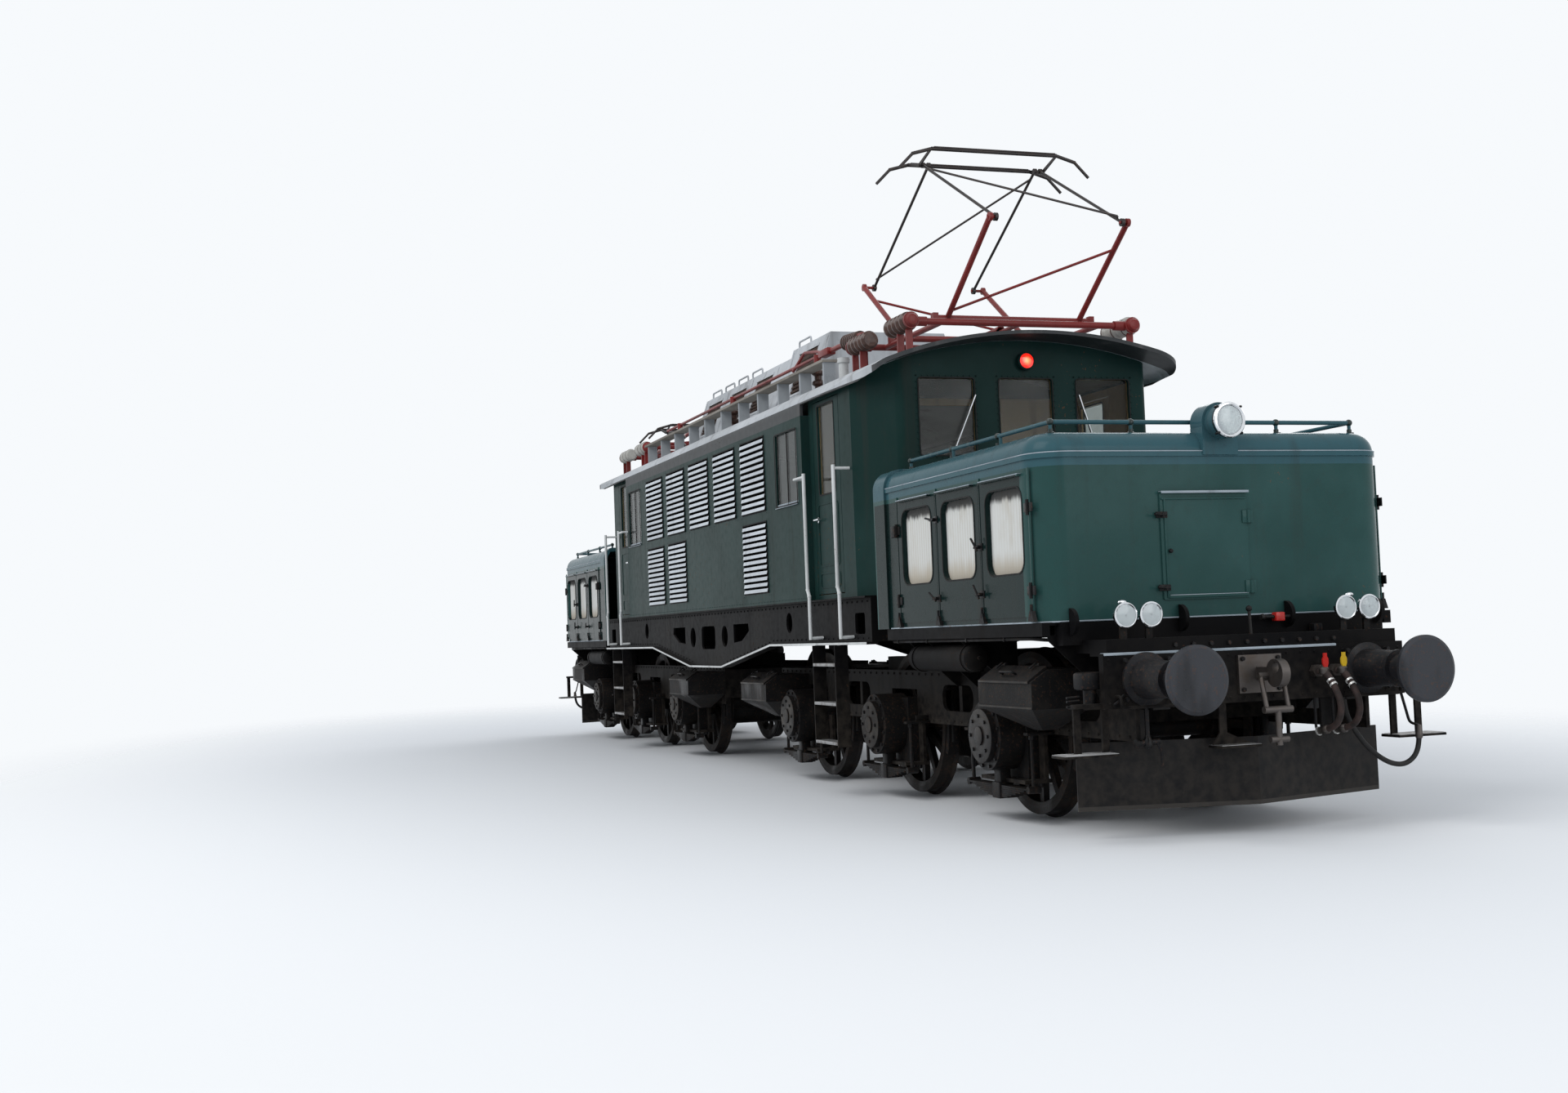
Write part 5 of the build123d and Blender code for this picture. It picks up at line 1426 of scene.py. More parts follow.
            for y in (-0.16, 0.6):
                pale.lathe(((0, 0), (0.034, 0), (0.03, 0.12), (0.024, 0.15), (0.03, 0.2), (0, 0.21)),
                           (back - 0.22, y, top + 0.01), UP, 14)


@dataclass
class RoomDetails(Section):
    """Louvre blades, window seals, rivets and ledges of the machine room's half at one end."""

    origin: Point = ABOVE_RAIL
    half: float = 1.486
    room: float = 3.6
    pitch: float = 1.03
    louvre_width: float = 0.81
    upper: Pair = (2.695, 3.46)
    lower: Pair = (1.87, 2.6)
    rim: float = 0.01
    slat_pitch: float = 0.062
    lean: float = 13.0
    window_x: float = 3.14
    window: Pair = (0.64, 0.7)
    window_z: float = 3.05
    sill_top: float = 1.755

    def build(self) -> None:
        """Build every detail of this half."""
        self.blades()
        self.window_seals()
        self.rivets()

    def banks(self) -> list[tuple[float, float, float, float]]:
        """The side, centre, bottom and top of each louvre bank of this half."""
        rows = [(side, k * self.pitch, *self.upper) for side in SIDES for k in (1, 2)]
        rows += [(side, 2 * self.pitch, *self.lower) for side in SIDES]
        rows.append((-1.0, 0.0, *self.upper))
        if self.end == "rear":
            rows += [(side, self.pitch, *self.lower) for side in SIDES]
        return rows

    def blades(self) -> None:
        """Thin sloping blades over each bank's openings."""
        size = (self.louvre_width - 0.026, 0.0025, self.slat_pitch * 0.56)
        plates = SlatTree(f"louvre_plates_{self.end}")
        with Slats(f"louvre_blades_{self.end}", self.body, Finish.LOUVRE, "louvre_paint", plates, ENDS[self.end],
                   self.origin, size=size, lean=self.lean) as slats:
            for side, x, low, high in self.banks():
                count = round((high - low) / self.slat_pitch)
                step = (high - low - 2 * self.rim) / count
                for k in range(count):
                    slats.plate((x, side * (self.half + 0.0128), low + self.rim + (k + 0.36) * step), side)

    def window_seals(self) -> None:
        """Seals, a sash bar and a pale lower ledge, coloured as a painted highlight, on the side windows."""
        x, face, y, tall = self.window_x, self.half + 0.007, self.half - 0.012, self.window[1]
        low = self.window_z - tall / 2
        with self.piece("room_window_seals", Finish.RUBBER, "green_paint") as seal:
            seal.frame((x, face, self.window_z), self.window, 0.012, (0, 0.004, 0), 0.015)
            seal.boxes(0.002, (x - 0.008, y - 0.005, low, x + 0.008, y + 0.005, low + tall))
            seal.mirror()
        # The pale lower ledges are painted highlights.
        with self.piece("room_window_ledges", Finish.PAINTED_HIGHLIGHT, "green_paint") as ledge:
            ledge.boxes(0.002, (x - 0.33, face, low - 0.02, x + 0.33, face + 0.012, low - 0.014),
                        (x - 0.32, y - 0.004, low + 0.001, x + 0.32, y + 0.004, low + 0.02))
            ledge.mirror()

    def rivets(self) -> None:
        """Small rivets along the wall's cover strips and the sill's edges."""
        y, foot = self.half + 0.007, self.sill_top + 0.026
        with self.fasteners("wall_rivets", Finish.GREEN, "green_paint", radius=0.006, height=0.003) as row:
            for side in SIDES:
                row.row((0.03, side * y, foot), (self.room - 0.03, side * y, foot), 0.095, (0, side, 0))
            for side, x, low, high in self.banks():
                half = self.louvre_width / 2 + 0.026
                for edge in (x - half, x + half):
                    row.row((edge, side * y, low - 0.02), (edge, side * y, high + 0.01), 0.085, (0, side, 0))
        web_y = 1.434
        with self.fasteners("sill_rivets", Finish.FRAME_BLACK, "black_paint", radius=0.011, height=0.007) as web:
            for x0, z0, x1, z1 in ((0.06, self.sill_top - 0.045, 5.02, self.sill_top - 0.045),
                                   (2.5, 1.392, 5.02, 1.392), (0.72, 1.178, 2.38, 1.39)):
                web.row((x0, web_y, z0), (x1, web_y, z1), 0.125, LEFT)
            web.mirror()


@dataclass
class SillDetails:
    """White lines on the sills' lower edges and bright treads on the ladders."""

    half: float = 1.486
    line: tuple[Pair, ...] = ((-5.1, 1.358), (-2.42, 1.358), (-0.65, 1.132), (0.65, 1.132), (2.42, 1.358), (5.1, 1.358))
    ladder_x: float = 3.86
    ladder_width: float = 0.6
    ladder_y: Pair = (1.42, 1.545)
    steps: tuple[float, ...] = (0.446, 0.795, 1.145)

    def build(self) -> None:
        """Build both sides."""
        with Piece("sill_white_lines", "body", Finish.WHITE, "white_paint", origin=ABOVE_RAIL) as white:
            y = self.half + 0.0004
            for (x0, z0), (x1, z1) in zip(self.line, self.line[1:]):
                white.prism([(x0, y, z0 - 0.001), (x1, y, z1 - 0.001), (x1, y, z1 - 0.021), (x0, y, z0 - 0.021)],
                            (0, 0.0018, 0))
            white.mirror()
        with Piece("ladder_treads", "body", Finish.TREAD, "black_paint", origin=ABOVE_RAIL) as tread:
            near, far = self.ladder_y
            for way in (-1, 1):
                x0, x1 = way * (self.ladder_x + 0.016), way * (self.ladder_x + self.ladder_width - 0.016)
                for z in self.steps:
                    tread.boxes(0, (x0, near + 0.002, z + 0.0262, x1, far - 0.001, z + 0.0285))
                    tread.boxes(0.001, (x0, far, z + 0.002, x1, far + 0.003, z + 0.0285))
            tread.mirror()


def insulator(piece: Piece, start: Sequence[float], axis: Sequence[float], length: float, core: float, shed: float,
              count: int) -> None:
    """Add the glazed body of a ribbed insulator.

    Args:
        piece: the piece that it goes on.
        start: the middle of its first cap.
        axis: the way it reaches.
        length: its length with both caps.
        core: its core's radius.
        shed: its ribs' radius.
        count: how many ribs it has.
    """
    pitch, thick, wide = (length - 0.044) / count, core + GLAZE, shed + GLAZE
    points = [(thick, 0.0225)]
    for k in range(count):
        z = 0.022 + pitch * (k + 0.5)
        rib = ((thick, 0.32), (shed - 0.003, 0.16), (wide, 0.1))
        points += [(r, z - pitch * part) for r, part in rib] + [(r, z + pitch * part) for r, part in reversed(rib)]
    piece.lathe(points + [(thick, length - 0.0225)], start, axis, 28)


@dataclass
class RoofDetails(Section):
    """Glazed insulators below one pantograph, and the contact strips on its head."""

    origin: Point = PANTOGRAPH_BASE
    foot: Pair = (0.65, 1.07)

    def build(self) -> None:
        """Build this end's roof gear."""
        x, y = self.foot
        with (self.piece("pale_insulators", Finish.PALE_CERAMIC, "red_paint") as pale,
              self.piece("dark_insulators", Finish.CERAMIC, "red_paint") as dark):
            for way in (-1, 1):
                for side, glaze in zip(SIDES, (dark, pale)):
                    insulator(glaze, (way * (x + 0.045), side * y, 0), (-way, 0, 0), 0.48, 0.0625, 0.082, 5)
                for k in (0, 2, 4):
                    dark.lathe(((0.03, -0.008), (0.0855, -0.008), (0.0855, 0.008), (0.03, 0.008)),
                               (way * (x - 0.021 - 0.0872 * k), y, 0), (-way, 0, 0), 28, ring=True)
        self.strips()

    def strips(self) -> None:
        """Flat contact strips on the collector head."""
        body = f"pantograph_{self.end}_head"
        top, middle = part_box(body)[1][2], ENDS[self.end] * self.origin[0]
        with Piece(f"contact_strips_{self.end}", body, Finish.COPPER_STRIP, "head_steel") as strip:
            strip.boxes(0.002, *((x - 0.024, -0.6, top - 0.012, x + 0.024, 0.6, top - 0.0002)
                                 for x in (middle - 0.27, middle + 0.27)))


@dataclass
class RoofGear:
    """Insulators of the busbar, roof switch, horn, grilles, handles and seams of the roof's middle."""

    bus_y: float = -0.942
    bus_z: float = 4.23
    posts: tuple[float, ...] = (-2.7, -0.3, 2.65)
    monitors: tuple[Point, ...] = ((-2.45, 0.62, 4.5), (1.05, 2.25, 4.57))
    grilles: tuple[tuple[float, int], ...] = ((-1.938, 0), (-0.915, 0), (0.108, 0), (1.65, 1))
    grille_width: float = 0.6
    grille_low: float = 4.02
    slats: int = 9
    seams: tuple[tuple[float, int], ...] = ((-2.4, 0), (-1.427, 0), (-0.403, 0), (0.57, 0), (1.1, 1), (2.2, 1))
    handle_first: Pair = (0.41, 0.33)
    handle_pitch: float = 0.565
    foot_y: float = 0.9
    top_y: float = 0.64
    base_z: float = 3.75

    def build(self) -> None:
        """Build all of it."""
        self.duct()
        self.insulators()
        self.switch()
        self.grille_slats()
        self.handles()
        self.edges()

    @staticmethod
    def piece(name: str, finish: Finish, slot: str = "roof_silver") -> Piece:
        """Start a piece of the roof."""
        return Piece(name, "body", finish, slot, origin=ABOVE_RAIL)

    def duct(self) -> None:
        """The duct between the two ventilator housings."""
        x, foot, head, top = 0.618, self.foot_y, self.top_y, self.monitors[0][2] - 0.002
        with self.piece("housing_duct", Finish.ROOF) as duct:
            duct.prism([(x, -foot, 3.9), (x, foot, 3.9), (x, head, top), (x, -head, top)], (0.434, 0, 0))

    def insulators(self) -> None:
        """The standing insulators of the busbar."""
        with self.piece("busbar_insulators", Finish.CERAMIC, "red_paint") as glaze:
            for x in self.posts:
                insulator(glaze, (x, self.bus_y, 3.7855), UP, 0.354, 0.036, 0.064, 3)

    def switch(self) -> None:
        """The roof switch with its lying insulator, its end block and the horn."""
        y, z, lean = self.bus_y, self.bus_z - 0.03, math.radians(94)
        with self.piece("roof_switch", Finish.RED, "red_paint") as red:
            red.boxes(0.008, (2.79, y - 0.045, z - 0.01, 3.06, y + 0.045, z + 0.06))
            red.boxes(0.01, (3.88, y - 0.05, z - 0.07, 4, y + 0.05, z + 0.04))
            red.boxes(0.003, (3.92, y - 0.03, 3.82, 3.96, y + 0.03, z - 0.06))
            red.rods(0.026, 14, (3.055, y, z + 0.025, 3.48, y, z + 0.025))
            red.pipe([(x, y, z + up) for x, up in ((1.885, 0.004), (2.265, 0.134), (2.635, 0.084), (2.85, 0.034))],
                     0.017)
        with self.piece("roof_switch_insulator", Finish.CERAMIC, "red_paint") as glaze:
            insulator(glaze, (3.47, y, z + 0.025), (math.sin(lean), 0, math.cos(lean)), 0.43, 0.044, 0.078, 7)
        with self.piece("roof_horn", Finish.WHITE) as horn:
            horn.lathe(((0, 0), (0.048, 0), (0.048, 0.15), (0.06, 0.16), (0.06, 0.205), (0.044, 0.205), (0.03, 0.19),
                        (0, 0.188)), (3.7, y - 0.12, 3.835), UP, 28)

    def handles(self) -> None:
        """Hand bars along the housings' top edges."""
        y = self.top_y - 0.025
        with self.piece("housing_handles", Finish.ROOF) as bars:
            for (x0, x1, top), first in zip(self.monitors, self.handle_first):
                for k in range(int((x1 - x0 - 2 * first) // self.handle_pitch) + 1):
                    start = x0 + first - 0.19 + self.handle_pitch * k
                    bars.pipe([(start + x, y, top + z) for x, z in (
                        (0, -0.005), (0, 0.07), (0.38, 0.07), (0.38, -0.005))], 0.011, 8)
            bars.mirror()

    def slope(self, index: int, z: float) -> float:
        """How far the side of a ventilator housing is from the middle at a height."""
        top = self.monitors[index][2]
        return self.foot_y - (z - self.base_z) / (top - self.base_z) * (self.foot_y - self.top_y)

    def grille_slats(self) -> None:
        """Brown backing, slats and bars in the housings' recesses, and the strips above and below them."""
        low, half = self.grille_low, self.grille_width / 2
        with (self.piece("grille_frames", Finish.ROOF) as frame, self.piece("grille_backs", Finish.GRILLE) as back):
            for x, index in self.grilles:
                top = self.monitors[index][2] - 0.09
                y0, y1 = self.slope(index, low) - 0.024, self.slope(index, top) - 0.01
                back.prism([(x - half, y0, low), (x + half, y0, low), (x + half, y1, top), (x - half, y1, top)],
                           (0, 0.004, 0))
                for k in range(self.slats):
                    z = low + 0.012 + (top - low - 0.03) * (k + 0.5) / self.slats
                    y = self.slope(index, z) - 0.007
                    back.boxes(0.002, (x - half + 0.002, y - 0.006, z - 0.01, x + half - 0.002, y + 0.006, z + 0.01))
                ends = [(self.slope(index, z) - 0.014, z) for z in (low + 0.01, top - 0.01)]
                for k in range(10):
                    at = x - half + 0.03 + 0.06 * k
                    back.rods(0.006, 6, (at, *ends[0], at, *ends[1]))
                for z0, z1 in ((low - 0.022, low + 0.004), (top - 0.004, top + 0.022)):
                    y0, y1, wide = self.slope(index, z0), self.slope(index, z1), half + 0.02
                    frame.prism([(x - wide, y0, z0), (x + wide, y0, z0), (x + wide, y1, z1), (x - wide, y1, z1)],
                                (0, 0.006, 0))
            back.mirror()
            frame.mirror()

    def edges(self) -> None:
        """Raised seams across the housings' sides."""
        with self.piece("housing_seams", Finish.ROOF) as seam:
            for x, index in self.seams:
                low, top = self.base_z + 0.16, self.monitors[index][2] - 0.03
                y0, y1 = self.slope(index, low), self.slope(index, top)
                seam.prism([(x - 0.014, y0, low), (x + 0.014, y0, low), (x + 0.014, y1, top), (x - 0.014, y1, top)],
                           (0, 0.005, 0))
            seam.mirror()


@dataclass
class BogieDetails(Section):
    """Cover plates, bolts, nuts, lids, tank ends and pipes of one bogie's sides."""

    origin: Point = ABOVE_RAIL
    axles: Point = (2.25, 4.55, 6.85)
    axle_z: float = 0.625
    box_face: float = 1.23
    cover: Pair = (0.045, 0.205)
    plate_y: float = 0.93
    sandboxes: tuple[Point, ...] = ((1.09, 0.765, 0.99), (7.13, 0.86, 1.09))
    pipe_z: float = 1.353

    def build(self) -> None:
        """Build both sides of the bogie."""
        self.covers()
        self.nuts()
        self.lids()
        self.tanks()

    def covers(self) -> None:
        """Pale rings and bolts on the axle box covers."""
        (depth, r), z, face = self.cover, self.axle_z, self.box_face
        with self.piece("axle_box_plates", Finish.COVER, "dark_steel") as plate:
            for x in self.axles:
                plate.lathe(((0.069, -0.002), (0.069, 0.003), (0.1, 0.006), (r - 0.02, 0.006), (r - 0.002, 0.001),
                             (r - 0.002, -0.002)), (x, face + depth, z), LEFT, 40, ring=True)
                plate.lathe(((0.069, 0.018), (0.06, 0.021), (0.03, 0.024), (0, 0.025)), (x, face + depth, z), LEFT, 28)
            plate.mirror()
        with self.fasteners("axle_box_bolts", Finish.DARK_IRON, "dark_steel", radius=0.016, height=0.014, taper=0.9,
                            sides=6) as bolts:
            for x in self.axles:
                bolts.ring((x, face + depth + 0.006, z), 0.15, 8, LEFT)
                bolts.ring((x, face + 0.001, z), 0.237, 12, LEFT)
            bolts.mirror()

    def nuts(self) -> None:
        """Nuts below the spring eyes and the keep plates, and rivets along the side plates."""
        with self.fasteners("spring_nuts", Finish.DARK_IRON, "dark_steel", radius=0.024, height=0.03, taper=1.0,
                            sides=6) as nuts:
            for x in self.axles:
                for way in (-1, 1):
                    for dx, y, z in ((0.52, 1.1, 0.64), (0.31, 0.965, 0.272), (0.36, 0.965, 0.272)):
                        nuts.add((x + way * dx, y, z), (0, 0, -1))
            nuts.mirror()
        with self.fasteners("side_plate_rivets", Finish.FRAME_BLACK, "black_paint", radius=0.013,
                            height=0.009) as rivets:
            for z in (0.67, 1.06):
                rivets.row((1.15, self.plate_y, z), (8.5, self.plate_y, z), 0.145, LEFT)
            rivets.mirror()

    def lids(self) -> None:
        """Hinges, handles and edge strips on the sand boxes."""
        with (self.piece("sandbox_edges", Finish.COVER, "dark_steel") as edge,
              self.piece("sandbox_hinges", Finish.DARK_IRON, "dark_steel") as lid):
            for x0, low, high in self.sandboxes:
                for x in (x0 + 0.16, x0 + 0.7):
                    lid.rods(0.012, 10, (x - 0.045, 1.262, high + 0.078, x + 0.045, 1.262, high + 0.078))
                    lid.box((x - 0.015, 1.262, high + 0.068), (x + 0.015, 1.33, high + 0.078), 0.003,
                            Matrix.Rotation(-0.62, 3, "X"))
                lid.pipe([(x0 + x, y, high + z) for x, y, z in (
                    (0.33, 1.35, 0.012), (0.33, 1.385, 0.03), (0.54, 1.385, 0.03), (0.54, 1.35, 0.012))], 0.008, 8)
                edge.boxes(0.001, (x0 + 0.032, 1.4105, high - 0.048, x0 + 0.838, 1.4145, high - 0.034),
                           (x0 + 0.002, 1.4, low + 0.002, x0 + 0.868, 1.4035, low + 0.016))
            lid.mirror()
            edge.mirror()

    def tanks(self) -> None:
        """Domed tank ends and the pipe under the deck's edge."""
        dome_shape = [(0.105 * math.cos(a), 0.045 * math.sin(a)) for a in (math.pi / 12 * k for k in range(7))]
        with self.piece("air_tank_ends", Finish.FRAME_BLACK, "black_paint") as dome:
            for x, way in ((5.8, -1), (6.88, 1)):
                dome.lathe(dome_shape, (x, 1.29, 1.215), (way, 0, 0), 28)
                dome.rods(0.016, 8, (x + way * 0.04, 1.29, 1.215, x + way * 0.075, 1.29, 1.215))
            dome.mirror()
        z = self.pipe_z
        with self.piece("deck_pipes", Finish.GEAR, "dark_steel") as pipe:
            pipe.pipe(((5.5, 1.392, z), (8.02, 1.392, z), (8.16, 1.36, z - 0.01), (8.18, 1.2, z - 0.02)), 0.0125, 8)
            pipe.boxes(0.003, *((x, 1.375, z - 0.016, x + 0.02, 1.409, z + 0.016) for x in (5.6, 6.2, 6.95, 7.6)))
            pipe.mirror()


@dataclass
class RunningGear(Section):
    """Leaf springs below the axle boxes, their brackets, and the brake shoes of one bogie."""

    origin: Point = ABOVE_RAIL
    axles: Point = (2.25, 4.55, 6.85)
    axle_z: float = 0.625
    spring_y: Pair = (1.05, 1.15)
    spring_half: float = 0.52
    spring_top: float = 0.25
    leaf: float = 0.015
    leaf_step: float = 0.07
    leaves: int = 6
    hanger_top: float = 0.64
    shoe: Pair = (0.633, 0.688)
    shoe_y: Pair = (0.722, 0.814)
    pin_z: float = 0.94

    def build(self) -> None:
        """Build both sides."""
        with (self.piece("brake_shoes", Finish.GEAR, "dark_steel") as brake,
              self.piece("leaf_springs", Finish.GEAR, "dark_steel") as spring):
            for x in self.axles:
                self.spring(spring, x)
                for way in (-1, 1):
                    self.brake(brake, x, way)
            spring.mirror()
            brake.mirror()

    def spring(self, piece: Piece, x: float) -> None:
        """Add one stepped leaf spring with its buckle, eyes, hangers and brackets."""
        (near, far), top, hanger = self.spring_y, self.spring_top, self.hanger_top
        for k in range(self.leaves):
            half, level = self.spring_half - self.leaf_step * k, top - self.leaf * k
            piece.boxes(0.002, (x - half, near, level - self.leaf + 0.001, x + half, far, level))
        low, z = top - self.leaf * self.leaves, top - self.leaf / 2
        piece.boxes(0.006, (x - 0.065, 1.038, low - 0.012, x + 0.065, 1.162, top + 0.02),
                    (x - 0.055, 1.055, top, x + 0.055, 1.145, self.axle_z - 0.25))
        for eye in (x - self.spring_half, x + self.spring_half):
            piece.rods(0.028, 16, (eye, near, z, eye, far, z))
            piece.rods(0.015, 10, (eye, 1.1, z, eye, 1.1, hanger))
            piece.boxes(0.003, (eye - 0.035, 0.925, hanger, eye + 0.035, far, hanger + 0.022))
            piece.boxes(0.002, (eye - 0.008, 0.925, hanger + 0.02, eye + 0.008, 1.05, hanger + 0.07))

    def brake(self, piece: Piece, x: float, way: float) -> None:
        """Add one brake shoe against the tread, its hanger and its pin."""
        angles = [math.radians(-8 + 3.5 * k) for k in range(-4, 5)]
        (near, far), (y0, y1), z, pin = self.shoe, self.shoe_y, self.axle_z, self.pin_z
        outline = [(x + way * near * math.cos(a), y0, z + near * math.sin(a)) for a in angles]
        outline += [(x + way * far * math.cos(a), y0, z + far * math.sin(a)) for a in reversed(angles)]
        piece.prism(outline, (0, y1 - y0, 0))
        back = x + way * (far - 0.015)
        piece.boxes(0.006, (back, 0.742, z - 0.15, back + way * 0.045, 0.794, pin + 0.03))
        piece.rods(0.02, 12, (back + way * 0.022, 0.742, pin, back + way * 0.022, 0.905, pin))


@dataclass
class Headstock(Section):
    """Hand bars, corner steps, foot step, valve, lever and floor clamps round one buffer beam."""

    origin: Point = BUFFER_BEAM
    clamps: tuple[float, ...] = (-1.235, -0.38, 0.48, 1.235)

    def build(self) -> None:
        """Build it all."""
        with self.piece("headstock_steps", Finish.FRAME_BLACK, "black_paint") as iron:
            iron.boxes(0.002, (-0.18, 1.11, 0.56, 0.02, 1.51, 0.576))
            iron.boxes(0, (-0.1, 1.125, 0.57, -0.08, 1.175, 0.9), (-0.1, 1.335, 0.57, -0.08, 1.385, 0.9))
            iron.boxes(0.003, (-0.11, 1.1, 0.88, -0.04, 1.39, 0.91))
            iron.mirror()
            for side in SIDES:
                iron.pipe([(x, side * y, z) for x, y, z in (
                    (-0.005, 1.105, 0.954), (0.07, 1.105, 0.954), (0.07, 1.105, 0.879), (0.07, 0.665, 0.879),
                    (-0.005, 0.665, 0.879))], 0.011)
            strap = ((-0.315, 0.89), (-0.315, 0.67), (-0.385, 0.58), (-0.07, 0.58), (-0.07, 0.59), (-0.26, 0.67),
                     (-0.26, 0.89))
            iron.prism([(-0.03, y, z) for y, z in strap], (0.015, 0, 0))
            iron.boxes(0.002, (-0.06, -0.385, 0.572, 0.11, -0.07, 0.588), (-0.26, -1.33, 0.872, -0.04, -1.15, 0.884))
        with self.piece("headstock_valve", Finish.DARK_IRON, "dark_steel") as valve:
            valve.boxes(0.022, (-0.22, -1.31, 1, -0.08, -1.13, 1.12))
            valve.rods(0.045, 20, (-0.15, -1.22, 0.878, -0.15, -1.22, 1.01))
            valve.pipe(((-0.06, 0, 1.24), (-0.075, 0, 1.505)), 0.011)
            valve.lathe(ball(0.022, 0.022, 8), (-0.075, 0, 1.505), UP, 14)
        half_disc = [(-0.334 + 0.093 * math.cos(a), 1.46 + 0.093 * math.sin(a))
                     for a in (math.radians(-90 + 15 * k) for k in range(13))]
        with self.piece("hood_floor_clamps", Finish.FRAME_BLACK, "black_paint") as clamp:
            for y in self.clamps:
                clamp.prism([(x, y - 0.014, z) for x, z in half_disc], (0, 0.028, 0))


@dataclass
class Linkage(Section):
    """Caps on the insulators and lifting springs of one pantograph's base."""

    origin: Point = PANTOGRAPH_BASE
    foot: Pair = (0.65, 1.07)

    def build(self) -> None:
        """Build the base's fittings."""
        x, y = self.foot
        with self.piece("insulator_caps", Finish.RED, "red_paint") as caps:
            for way in (-1, 1):
                at, axis = (way * (x + 0.04), y, 0), (way, 0, 0)
                caps.lathe(((0, 0), (0.064, 0), (0.064, 0.025), (0.046, 0.056), (0, 0.07)), at, axis, 24)
                caps.lathe(((0.052, -0.004), (0.072, -0.004), (0.072, 0.022), (0.052, 0.022)), at, axis, 24, ring=True)
            caps.mirror()
        coil = [(-0.3 + 0.0006 * k, 0.05 * math.cos(k * 0.45), 0.05 * math.sin(k * 0.45)) for k in range(0, 900, 2)]
        with self.piece("lifting_springs", Finish.RED, "red_paint") as springs:
            springs.rods(0.02, 12, (-x, 0, 0, x, 0, 0))
            springs.pipe(coil, 0.006, 6, 0)


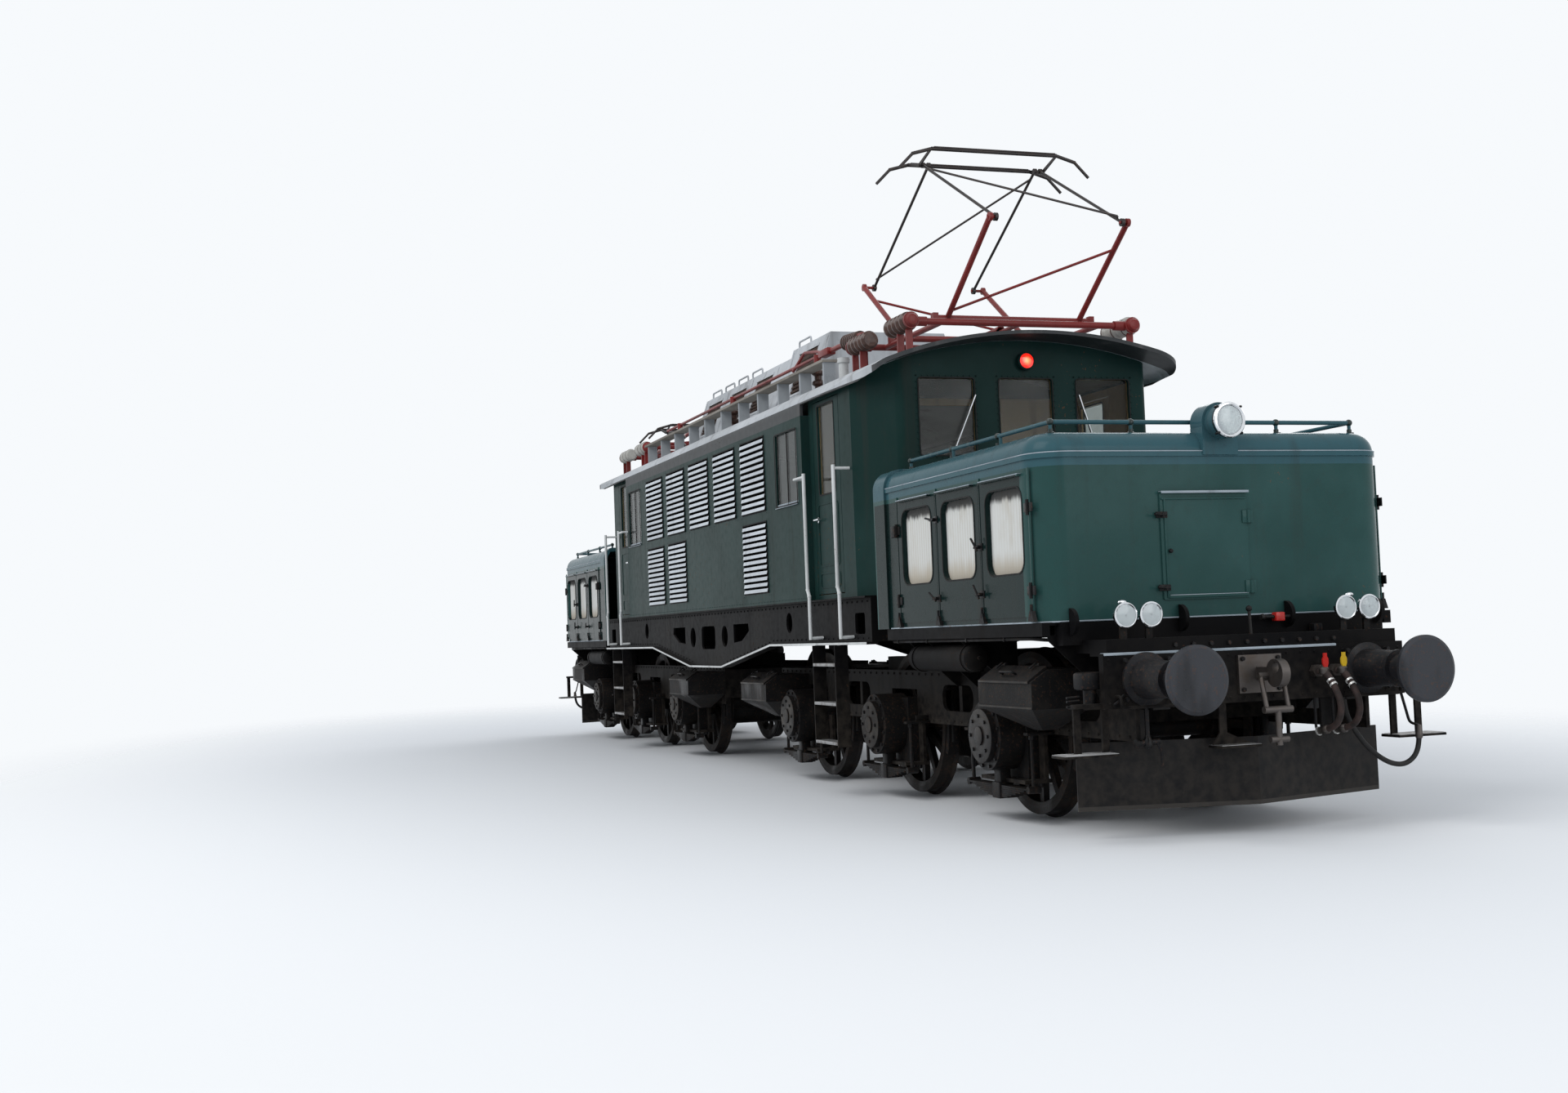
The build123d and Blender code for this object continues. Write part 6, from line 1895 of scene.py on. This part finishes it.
@dataclass
class Studio:
    """Camera, lamps, world and floor."""

    place: Point = (18.7516, -6.7752, 1.4475 + RAIL)
    yaw: float = 0.3236
    pitch: float = 0.0515
    roll: float = -0.0383
    focal_pixels: float = 2092.88
    picture_width: float = 1920.0
    sensor: float = 36.0
    soft: tuple[Point, float] = ((0.86, 0.92, 1.0), 0.62)
    shown: tuple[Point, float] = ((0.93, 0.955, 0.98), 1.0)
    fade: Pair = (5.0, 12.0)
    floor_half: float = 150.0

    def build(self) -> None:
        """Set up everything round the locomotive."""
        self.camera()
        self.world()
        self.lamps()
        self.floor()

    def camera(self) -> None:
        """Place the camera where the photo was taken from."""
        data = bpy.data.cameras.new("photo_camera")
        data.sensor_width = self.sensor
        data.sensor_fit = "HORIZONTAL"
        data.lens = self.focal_pixels / self.picture_width * self.sensor
        data.clip_end = 500.0
        made = link("photo_camera", data)
        ahead = Vector((-math.cos(self.yaw) * math.cos(self.pitch), math.sin(self.yaw) * math.cos(self.pitch),
                        math.sin(self.pitch)))
        right = ahead.cross(Vector(UP)).normalized()
        up = right.cross(ahead)
        level_right = math.cos(self.roll) * right + math.sin(self.roll) * up
        level_up = -math.sin(self.roll) * right + math.cos(self.roll) * up
        turn = Matrix((level_right, level_up, -ahead)).transposed()
        made.matrix_world = Matrix.Translation(self.place) @ turn.to_4x4()
        bpy.context.scene.camera = made

    def world(self) -> None:
        """A plain white surround that lights softly and shows white to the camera."""
        world = bpy.data.worlds.new("studio")
        bpy.context.scene.world = world
        world.use_nodes = True
        g = Graph(world.node_tree)
        rays = g.node("ShaderNodeLightPath").outputs
        seen = rays["Is Camera Ray"]
        for ray in ("Is Glossy Ray", "Is Transmission Ray"):
            seen = g.node("ShaderNodeMath", {"operation": "MAXIMUM"}, {0: seen, 1: rays[ray]}).outputs[0]
        soft, shown = (g.node("ShaderNodeBackground", inputs={0: colour, 1: strength}).outputs[0]
                       for colour, strength in (self.soft, self.shown))
        mix = g.node("ShaderNodeMixShader", inputs={0: seen, 1: soft, 2: shown})
        g.node("ShaderNodeOutputWorld", inputs={0: mix.outputs[0]})

    def lamps(self) -> None:
        """A broad key from above the near side, a soft fill from the front and one from the far side."""
        for name, at, to, size, power in (("key", (9.0, -16.0, 18.0), (1.0, 0.0, 1.5), 14.0, 2300.0),
                                          ("fill", (26.0, 5.0, 9.0), (3.0, 0.0, 1.5), 12.0, 900.0),
                                          ("far_fill", (-14.0, 16.0, 14.0), (0.0, 0.0, 1.5), 14.0, 1100.0)):
            data = bpy.data.lights.new(name, "AREA")
            data.size = size
            data.energy = power
            made = link(name, data)
            made.location = at
            made.rotation_euler = (Vector(to) - Vector(at)).to_track_quat("-Z", "Y").to_euler()

    def floor(self) -> None:
        """A pale floor that keeps the locomotive's shadow and fades out far away."""
        data = bpy.data.meshes.new("floor")
        half = self.floor_half
        data.from_pydata([(-half, -half, 0), (half, -half, 0), (half, half, 0), (-half, half, 0)], [], [(0, 1, 2, 3)])
        made = link("floor", data)
        graph = ShaderGraph("pale_floor")
        x, y, _ = graph.corners()
        away = (x * x * 0.22 + y * y) ** 0.5
        graph.set(Base_Color=graph.blend(away.step(2.0, 9.0), (0.78, 0.79, 0.80), (0.88, 0.89, 0.90)), Roughness=0.9)
        clear = graph.node("ShaderNodeBsdfTransparent")
        graph.cover(away.step(*self.fade), graph.wire(graph.shader, 0), graph.wire(clear, 0))
        data.materials.append(graph.material)


@dataclass
class CadFinishes:
    """Which finish each CAD node gets."""

    rules: tuple[tuple[str, Finish], ...] = (
        ("wheelset", Finish.WHEEL), ("hood_screens", Finish.SCREEN), ("hood", Finish.HOOD_GREEN),
        ("machine_room", Finish.GREEN), ("cab_", Finish.GREEN),
        ("roof_monitors", Finish.ROOF), ("roof_walkways", Finish.PLANK), ("roof_conductors", Finish.RED),
        # The CAD louvres are painted black, so that the gaps between the pale blades show as painted shade.
        ("roof", Finish.ROOF), ("louvres", Finish.FRAME_BLACK), ("window_glass", Finish.WINDOW),
        ("door_handrails", Finish.WHITE), ("pantograph_bases", Finish.RED), ("pantograph_front_lower", Finish.RED),
        ("pantograph_rear_lower", Finish.RED), ("pantograph", Finish.COPPER_STRIP),
        ("bridge_frame", Finish.FRAME_BLACK), ("ladders", Finish.FRAME_BLACK), ("buffers", Finish.BUFFER),
        ("snowplough", Finish.PLOUGH), ("bogie_frame", Finish.FRAME_BLACK), ("coupler", Finish.DULL_STEEL))
    other: Finish = Finish.GEAR

    def dress(self, frame: dict) -> None:
        """Give each CAD node its finish by the start of its name."""
        for node in sorted(frame["nodes"]):
            finish = next((f for start, f in self.rules if node.startswith(start)), self.other)
            data = bpy.data.objects[node].data
            data.materials.clear()
            data.materials.append(finish.material)


def main() -> None:
    """Build every part of the picture in order."""
    logging.basicConfig(level=logging.INFO, format="%(message)s")
    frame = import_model()
    bpy.context.scene.view_settings.view_transform = "Standard"
    Studio().build()
    CadFinishes().dress(frame)
    heads = FastenerTree("rivet_and_bolt_heads")
    for end in ENDS:
        for part in (Hoses, HoodDetails, EndGear, BogieDetails, RunningGear, Headstock):
            part(end, heads, f"bogie_{end}").build()
        for part in (Linkage, CabDetails, RoomDetails, RoofDetails):
            part(end, heads).build()
    SillDetails().build()
    RoofGear().build()


if __name__ == "__main__":
    main()
